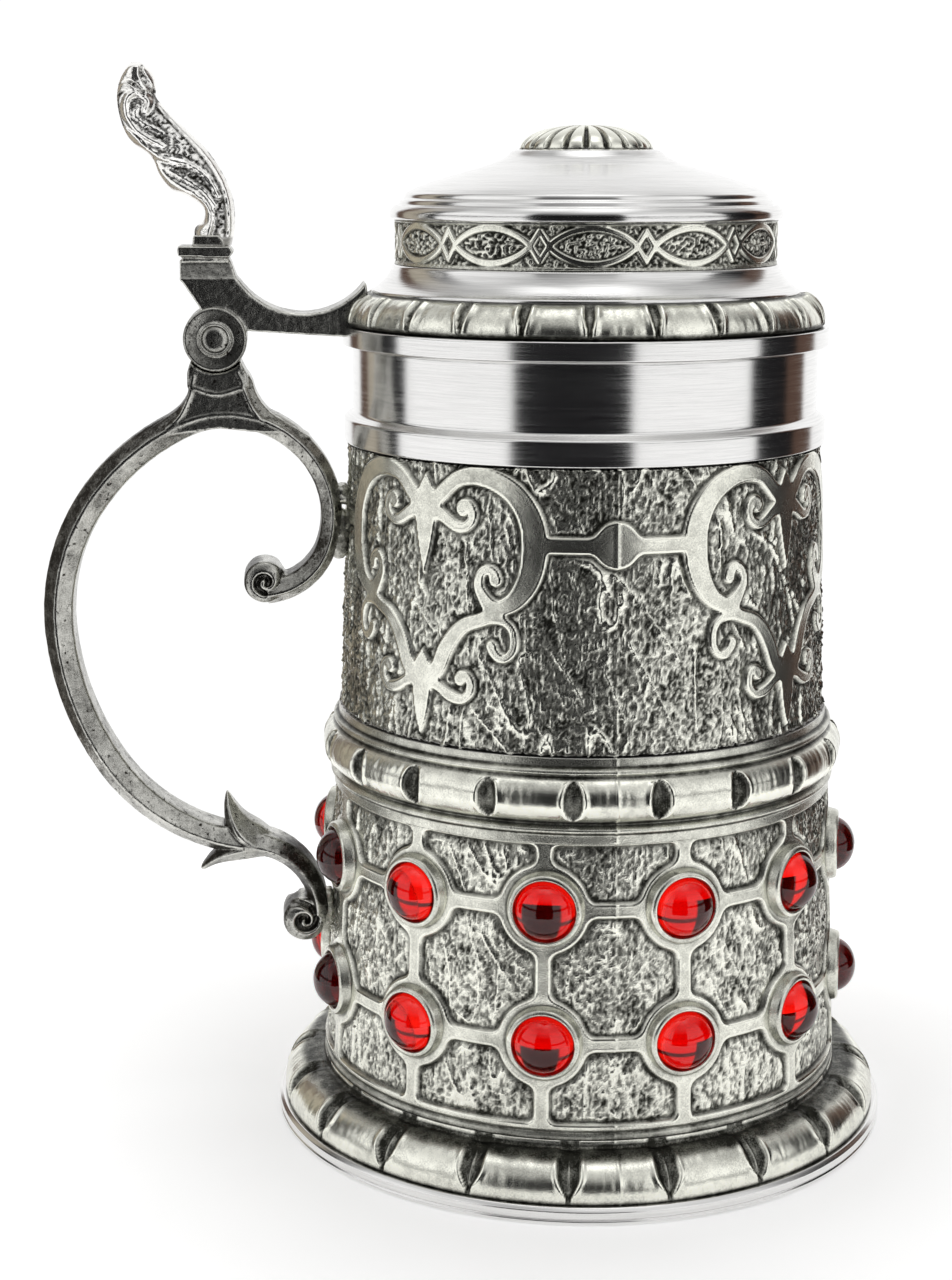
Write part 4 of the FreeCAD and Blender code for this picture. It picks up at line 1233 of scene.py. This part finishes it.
def thorn_shells():
    """Two pointed horns, ridged down their faces, that flare out of the strap's lower bend."""
    up = [
        (-55.4, 48.6, 2.3, 4.4), (-58.0, 49.9, 2.9, 4.7), (-60.0, 51.7, 2.6, 4.6), (-61.3, 54.0, 1.75, 3.7),
        (-62.0, 56.2, 1.0, 2.4), (-62.3, 57.9, 0.35, 1.0), (-62.35, 58.4, 0.1, 0.3),
    ]
    down = [
        (-56.6, 48.1, 1.6, 4.3), (-60.1, 47.9, 1.9, 4.6), (-63.0, 47.1, 1.5, 3.9),
        (-65.2, 45.9, 0.95, 2.7), (-66.8, 44.5, 0.5, 1.3), (-67.2, 44.1, 0.15, 0.4),
    ]
    flipped = [(-across, side) for across, side in HORN_SECTION[::-1]]
    return [
        swept_shell(path_stations(up[::-1]), HORN_SECTION),
        swept_shell(path_stations(down[::-1]), flipped),
    ]


def leaf_spans():
    """The offsets of the five hinge leaves, front to back; the lid owns the odd ones."""
    return [(-5.4 + 2.2 * index, -3.4 + 2.2 * index) for index in range(5)]


def paint_handle_shade(mesh, depth):
    """Painted shade on the handle: darker on the faces that look outward and up, and where the strap nears
    the barrel.
    """
    place, normal = vertex_rows(mesh, "co") / MM, vertex_rows(mesh, "normal")
    wear_and_shade = np.empty(len(mesh.vertices), np.float32)
    layer = mesh.attributes["wear_and_shade"].data
    layer.foreach_get("value", wear_and_shade)
    # painted shade: faces turned outward and up, and the strap's stretch beside the barrel, are darkened
    outward = smooth_step(0.35, 0.75, 0.35 * normal[:, 2] - normal[:, 0])
    clear = np.linalg.norm(place[:, [0, 2]] - LOWER_VOLUTE, axis=1)
    near = smooth_step(-54.5, -51.0, place[:, 0]) * smooth_step(3.7, 4.6, clear)
    near = near * smooth_step(56, 50, place[:, 2])
    layer.foreach_set("value", (wear_and_shade - depth * np.maximum(outward, near)).astype(np.float32))


def make_handle():
    stations = strap_stations()
    shells = [swept_shell(stations, STRAP_SECTION)]
    shells.append(volute_shell(UPPER_VOLUTE, 3.6, 4.6, 38, 1.2))
    shells.append(volute_shell(LOWER_VOLUTE, 3.75, 4.6, 128, 1.4))
    shells += bracket_shells()
    shells += thorn_shells()
    for low, high in leaf_spans()[1::2]:
        shells.append(slab_shell(disc_outline(HINGE, 5.3), low, high))
        neck = [(-65.6, 130.8), (-59.4, 130.8), (-59.4, 134.5), (-65.6, 134.5)]
        shells.append(slab_shell(neck, low, high))
    made = cast_piece("handle", "vessel", shells, CAST, 0.24, 0.035, 2.2, 3)
    # painted shade on the handle's outward and upward faces and beside the barrel
    paint_handle_shade(made.data, 0.46)


def hinge_axes(side):
    """The hinge's centre and the axes of a turned part there, which looks along Y to that side."""
    return np.array([(HINGE[0], 0, HINGE[1]), (1, 0, 0), (0, 0, 1), (0, side, 0)], float)


def make_pin():
    """The hinge pin, with a peened end that stands in a ring at each side."""
    radius = 2.17
    corners = [
        (1e-6, -5.3), (1.5, -5.24, 0.3), (radius, -4.9, 0.1), (radius, 4.9, 0.1),
        (1.5, 5.24, 0.3), (1e-6, 5.3),
    ]
    profile = divided(eased(corners, 0.2, False), 0.6, False)
    made = add_object("hinge_pin", *placed_lathe(hinge_axes(-1), profile, 64), [CAST])
    weld(made)
    store_wear_and_shade(made.data, 0.3 + 0.4 * curvature_wear(made.data, 1.5, 1))
    settle(made, "vessel", "hinge_pin")


def solder_shell(low, high):
    """A lump of solder that fills a box, narrower towards its ends."""
    middle = (low + high) / 2
    half = (high - low) / 2
    stations = []
    for share in np.linspace(-1, 1, 15):
        bulge = math.sqrt(max(1 - share**2, 0.02)) ** 0.5
        height = middle[2] + share * half[2]
        stations.append((middle[0], height, math.pi / 2, (half[0] + 0.5) * bulge, half[1] * bulge))
    return swept_shell(stations, ROUND_SECTION)


def make_solder():
    for name in ("shoulder_lug", "upper_lug", "lower_lug"):
        low, high = (np.array(corner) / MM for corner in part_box(name))
        cast_piece(name, "vessel", [solder_shell(low, high)], SOLDER, 0.22, 0.16, 1.5, 2)


# ---------------------------------------------------------------- lid arm and thumbpiece


def hinge_face_shell(side):
    """The dished outer face of an end leaf, with a raised ring round the pin."""
    corners = [
        (2.25, 3.4), (5.3, 3.4, 0.1), (5.3, 5.1, 0.3), (4.95, 5.36, 0.2), (4.1, 5.14, 1.2),
        (3.1, 4.96, 0.4), (2.85, 5.1, 0.2), (2.6, 5.36, 0.15), (2.25, 5.15, 0.1),
    ]
    profile = divided(eased(corners, 0.15), 0.5)
    points, faces = placed_lathe(hinge_axes(side), profile, 72, True)
    return points, [list(face) if side < 0 else list(face)[::-1] for face in faces]


def arm_outline(sink):
    """The arm's side outline, with its scooped top lowered by sink."""
    scoop = arc_points((-59.7, 149.6 - sink), (-37.3, 146.6 - sink), 13.0, 1, 40)
    scoop = [(x, min(z, 147.2) if x < -55 else z) for x, z in scoop]
    body = [(-68.0, 147.2), (-65.0, 142.7), (-63.0, 139.5), (-57.8, 138.7), (-49.5, 138.1)]
    body += [(-38.2, 137.4), (-36.8, 143.2)]
    return body + [tuple(p) for p in scoop[::-1]]


def arm_shells():
    """The arm, the sloped neck and moulded block over it, the small plinth and the hinge leaves."""
    upright = math.pi / 2
    shells = [slab_shell(arm_outline(0.3), -4.75, 4.75), slab_shell(arm_outline(0.0), -4.45, 4.45)]
    neck = [(-63.3, 146.9, upright, 4.75, 4.75), (-63.85, 150.3, upright, 4.15, 3.6)]
    square = [(-1, -1), (-1, 1), (1, 1), (1, -1)]
    shells.append(swept_shell(neck, square))
    block = [
        (-68.2, 150.9), (-59.8, 150.7), (-59.1, 151.6),
        (-59.8, 152.5), (-68.2, 152.6), (-68.35, 151.8),
    ]
    shells.append(slab_shell(block, -4.8, 4.8))
    shells.append(slab_shell([(-67.6, 150.0), (-60.0, 150.0), (-60.0, 151.3), (-67.6, 151.3)], -4.1, 4.1))
    plinth = [(-65.9, 152.2), (-60.6, 152.2), (-60.6, 153.4), (-61.4, 154.3), (-65.7, 154.3)]
    shells.append(slab_shell(plinth, -3.75, 3.75))
    for low, high in leaf_spans()[0::2]:
        ends = (max(low, -4.9), min(high, 4.9))
        shells.append(slab_shell(disc_outline(HINGE, 5.3), *ends))
    return shells


def make_arm():
    cast_piece("lid_arm", "lid", arm_shells(), CAST, 0.2, 0.04, 2.2, 3)
    for label, side in (("hinge_face_front", -1), ("hinge_face_back", 1)):
        points, faces = hinge_face_shell(side)
        face = add_object(label, points, faces, [CAST])
        store_wear_and_shade(face.data, 0.85 * curvature_wear(face.data, 1.5, 1))
        settle(face, "lid")


THUMB_BACK = [
    (-65.5, 152.6), (-65.5, 155.3), (-64.1, 156.6), (-64.0, 158.6), (-66.1, 160.3), (-69.2, 161.7),
    (-71.1, 164.1), (-72.3, 166.9), (-75.1, 169.1), (-76.6, 171.2), (-77.5, 174.5), (-77.6, 177.4),
    (-76.8, 180.0), (-75.2, 182.1),
]
THUMB_FRONT = [
    (-59.5, 152.6), (-58.9, 155.4), (-58.9, 159.1), (-59.7, 162.1), (-61.2, 165.2), (-63.3, 168.2),
    (-65.9, 170.8), (-68.6, 173.4), (-70.3, 175.3), (-71.3, 176.6), (-71.2, 178.2), (-71.4, 179.6),
    (-72.2, 181.0), (-73.6, 182.1),
]
# Raised lines of the leaf scroll, as (x, z, half width).
THUMB_LINES = [
    [(-74.6, 181.8, 0.4), (-75.3, 180.6, 1.0), (-75.1, 179.3, 1.1), (-73.9, 178.9, 0.8)],
    [(-72.5, 180.9, 0.35), (-71.9, 179.6, 0.45), (-72.1, 178.1, 0.5)],
    [
        (-72.7, 174.6, 0.8), (-72.4, 175.9, 0.75), (-73.3, 176.9, 0.75), (-74.9, 177.2, 0.75),
        (-76.1, 176.0, 0.75), (-76.3, 174.1, 0.7), (-75.5, 172.3, 0.65), (-74.2, 170.9, 0.6),
        (-72.2, 169.7, 0.55), (-70.2, 168.7, 0.4),
    ],
    [
        (-74.0, 174.9, 0.25), (-74.6, 174.2, 0.3), (-74.3, 173.1, 0.3),
        (-73.0, 172.2, 0.3), (-70.2, 170.8, 0.25),
    ],
    [
        (-76.4, 171.4, 0.3), (-75.2, 170.5, 0.6), (-73.0, 168.1, 0.6), (-71.0, 166.9, 0.55),
        (-68.5, 166.3, 0.6), (-66.3, 165.8, 0.55), (-64.3, 164.7, 0.45), (-62.6, 162.9, 0.4),
        (-61.5, 160.6, 0.35),
    ],
    [
        (-70.6, 175.2, 0.3), (-69.0, 173.4, 0.35), (-66.6, 170.8, 0.35), (-64.2, 168.3, 0.4),
        (-62.2, 165.6, 0.4), (-60.6, 162.7, 0.4), (-59.7, 159.5, 0.45), (-59.5, 156.0, 0.5),
        (-59.8, 153.2, 0.5),
    ],
    [
        (-71.6, 166.0, 0.4), (-70.3, 163.7, 0.8), (-68.3, 162.3, 0.9), (-66.0, 161.1, 0.9),
        (-64.0, 159.5, 0.8), (-63.2, 157.4, 1.0), (-63.3, 155.9, 1.1), (-63.8, 154.6, 1.3),
    ],
    [
        (-69.6, 164.9, 0.3), (-67.3, 163.7, 0.3), (-65.2, 162.4, 0.3),
        (-63.4, 160.9, 0.3), (-62.0, 159.0, 0.3),
    ],
]
# Gaps that part the leaf's tip, in the same form.
THUMB_CRACKS = [
    [(-73.4, 181.4, 0.2), (-73.5, 180.2, 0.25), (-72.7, 178.9, 0.4), (-71.7, 177.4, 0.4)],
    [(-77.2, 178.5, 0.1), (-75.8, 178.9, 0.2), (-74.4, 178.3, 0.25), (-73.2, 177.0, 0.2)],
]


def even_curve(points, count):
    """A smooth curve through the points, resampled evenly along its length."""
    curve = smooth_path(points, 0.2)
    length = np.concatenate([[0], np.cumsum(np.linalg.norm(np.diff(curve, axis=0), axis=1))])
    wanted = np.linspace(0, length[-1], count)
    return np.stack([np.interp(wanted, length, curve[:, axis]) for axis in (0, 1)], 1)


def make_thumbpiece():
    rows, half_columns = 230, 44
    back = even_curve(THUMB_BACK, rows)[:, None]
    front = even_curve(THUMB_FRONT, rows)[:, None]
    share = np.sin(np.linspace(-math.pi / 2, math.pi / 2, half_columns))[None, :, None]
    flat = back + (front - back) * (share + 1) / 2
    x, z = flat[..., 0], flat[..., 1]
    lines, cracks = (
        np.min([stroke_distance(x, z, stroke) for stroke in strokes], axis=0)
        for strokes in (THUMB_LINES, THUMB_CRACKS)
    )
    head = smooth_step(177.0, 177.8, z)
    open_face = smooth_step(-0.1, 0.2, cracks)
    raised = np.maximum(1 - smooth_step(-0.1, 0.45, lines), head) * open_face
    swell = np.maximum(1 - smooth_step(-0.75, 0.35, lines), head) * open_face
    grit = gradient_noise(x * 1.25 + 200, z * 1.25, 90, 997)
    grit = grit + 0.6 * gradient_noise(x * 2.4 + 400, z * 2.4, 91, 997)
    pits = smooth_step(-0.26, -0.02, grit)
    crease = bell(lines, 0.42, 0.2) * (1 - head)
    along = np.linspace(0, 1, rows)[:, None]
    plinth = 1 - smooth_step(0.03, 0.05, along)
    thick = 3.35 - 0.5 * smooth_step(0.5, 1.0, along)
    dome = (1 - np.abs(share[..., 0]) ** 2.2) ** 0.5
    lift = 0.95 * swell + 0.35 * pits * (1 - raised) + 0.16 * grit - 0.65
    lift = lift * (1 - plinth)
    depth = (thick + lift) * dome
    end = smooth_step(1.0, 0.965, along) ** 0.5
    depth = depth * np.maximum(end, 0.05)
    outer = np.stack([x, -depth, z], -1)
    rear = np.stack([x, depth, z], -1)[:, ::-1]
    points = np.concatenate([outer, rear[:, 1:-1]], 1)
    wear_and_shade = np.clip(0.04 + 0.96 * raised + 0.76 * pits * (1 - raised) - 0.7 * crease, 0, 1)
    wear_and_shade = wear_and_shade * (1 - plinth) + 0.45 * plinth
    wear_and_shade = np.concatenate([wear_and_shade, wear_and_shade[:, ::-1][:, 1:-1]], 1)
    columns = points.shape[1]
    ends = points.mean(1)
    first, last = np.repeat(ends[:1, None], columns, 1), np.repeat(ends[-1:, None], columns, 1)
    points = np.concatenate([first, points, last])
    wear_and_shade = np.concatenate([wear_and_shade[:1], wear_and_shade, wear_and_shade[-1:]])
    faces = grid_faces(rows + 2, columns, False)
    made = add_object("thumbpiece", points.reshape(-1, 3), faces, [SCROLL], None, wear_and_shade)
    weld(made)
    settle(made, "lid", "thumbpiece")


# ---------------------------------------------------------------- studio


def make_floor():
    cells = bmesh.new()
    bmesh.ops.create_circle(cells, cap_ends=True, segments=128, radius=0.17)
    mesh = bpy.data.meshes.new("studio_floor")
    cells.to_mesh(mesh)
    cells.free()
    mesh.materials.append(floor_material())
    made = bpy.data.objects.new("studio_floor", mesh)
    made.location.z = -0.0001
    bpy.context.scene.collection.objects.link(made)


def make_world():
    """White studio with dark flags, by azimuth from the front and by elevation."""
    world = bpy.data.worlds.new("studio")
    bpy.context.scene.world = world
    world.use_nodes = True
    tree = world.node_tree
    direction = node(tree, "ShaderNodeTexCoord").outputs["Generated"]
    parts = node(tree, "ShaderNodeSeparateXYZ", {"Vector": direction}).outputs
    ahead = maths(tree, "MULTIPLY", parts["Y"], -1.0)
    turn = maths(tree, "ARCTAN2", parts["X"], ahead)
    share = remap(tree, turn, (-math.pi, math.pi), (0, 1))
    brown = (0.10, 0.06, 0.045)
    black = (0.012, 0.012, 0.013)
    beige = (0.42, 0.38, 0.31)
    soft = 1.3
    bands = [
        (-180, 1.0), (-152.7, brown), (-140.7, beige), (-121.7, black), (-104.7, 1.05),
        (-41.7, black), (15.3, 1.05), (80.3, black), (108.3, brown), (127.3, 1.0),
    ]
    stops = [(0.0, 1.0)]
    for (_, before), (edge, after) in zip(bands, bands[1:]):
        stops.append(((edge - soft + 180) / 360, before))
        stops.append(((edge + soft + 180) / 360, after))
    walls = ramp(tree, share, stops)
    ceiling = ramp(tree, share, [
        (0.0, 0.74), (0.12, 0.5), (0.26, 0.72), (0.4, 0.46), (0.5, 0.62), (0.6, 0.74), (0.76, 0.52),
        (0.88, 0.76), (1.0, 0.74),
    ], "EASE")
    gap = ramp(tree, parts["Z"], [(0.02, 1.0), (0.05, 0.08), (0.13, 0.08), (0.17, 1.0)])
    reach = ramp(tree, share, [(0.14, 0.0), (0.2, 1.0), (0.8, 1.0), (0.86, 0.0)])
    shade = node(tree, "ShaderNodeMix", {"Factor": reach}, data_type="RGBA", blend_type="MULTIPLY")
    tree.links.new(walls, shade.inputs[6])
    tree.links.new(gap, shade.inputs[7])
    sky = ramp(tree, parts["Z"], [(0.46, 0.0), (0.8, 1.0)])
    mix = node(tree, "ShaderNodeMix", {"Factor": sky}, data_type="RGBA")
    tree.links.new(shade.outputs[2], mix.inputs[6])
    tree.links.new(ceiling, mix.inputs[7])
    direct = node(tree, "ShaderNodeLightPath").outputs["Is Camera Ray"]
    paper = node(tree, "ShaderNodeMix", {"Factor": direct}, data_type="RGBA")
    tree.links.new(mix.outputs[2], paper.inputs[6])
    paper.inputs[7].default_value = (1, 1, 1, 1)
    background = tree.nodes["Background"]
    tree.links.new(paper.outputs[2], background.inputs["Color"])
    top = remap(tree, parts["Z"], (0.9, 0.99), (1.05, 2.4))
    tree.links.new(top, background.inputs["Strength"])


def make_camera():
    data = bpy.data.cameras.new("camera")
    data.lens = 62.83
    data.sensor_width = 36
    made = bpy.data.objects.new("camera", data)
    made.location = (-0.05145, -0.38054, 0.1653)
    made.rotation_euler = (math.radians(78.05), 0, math.radians(-4.94))
    bpy.context.scene.collection.objects.link(made)
    bpy.context.scene.camera = made


make_foot()
make_lower_barrel()
make_upper_barrel()
make_belt()
make_collar()
make_gems()
make_lid_rings()
make_frieze()
make_cap()
make_finial()
make_handle()
make_pin()
make_solder()
make_arm()
make_thumbpiece()
make_floor()
make_world()
make_camera()
bpy.context.scene.view_settings.view_transform = "Standard"
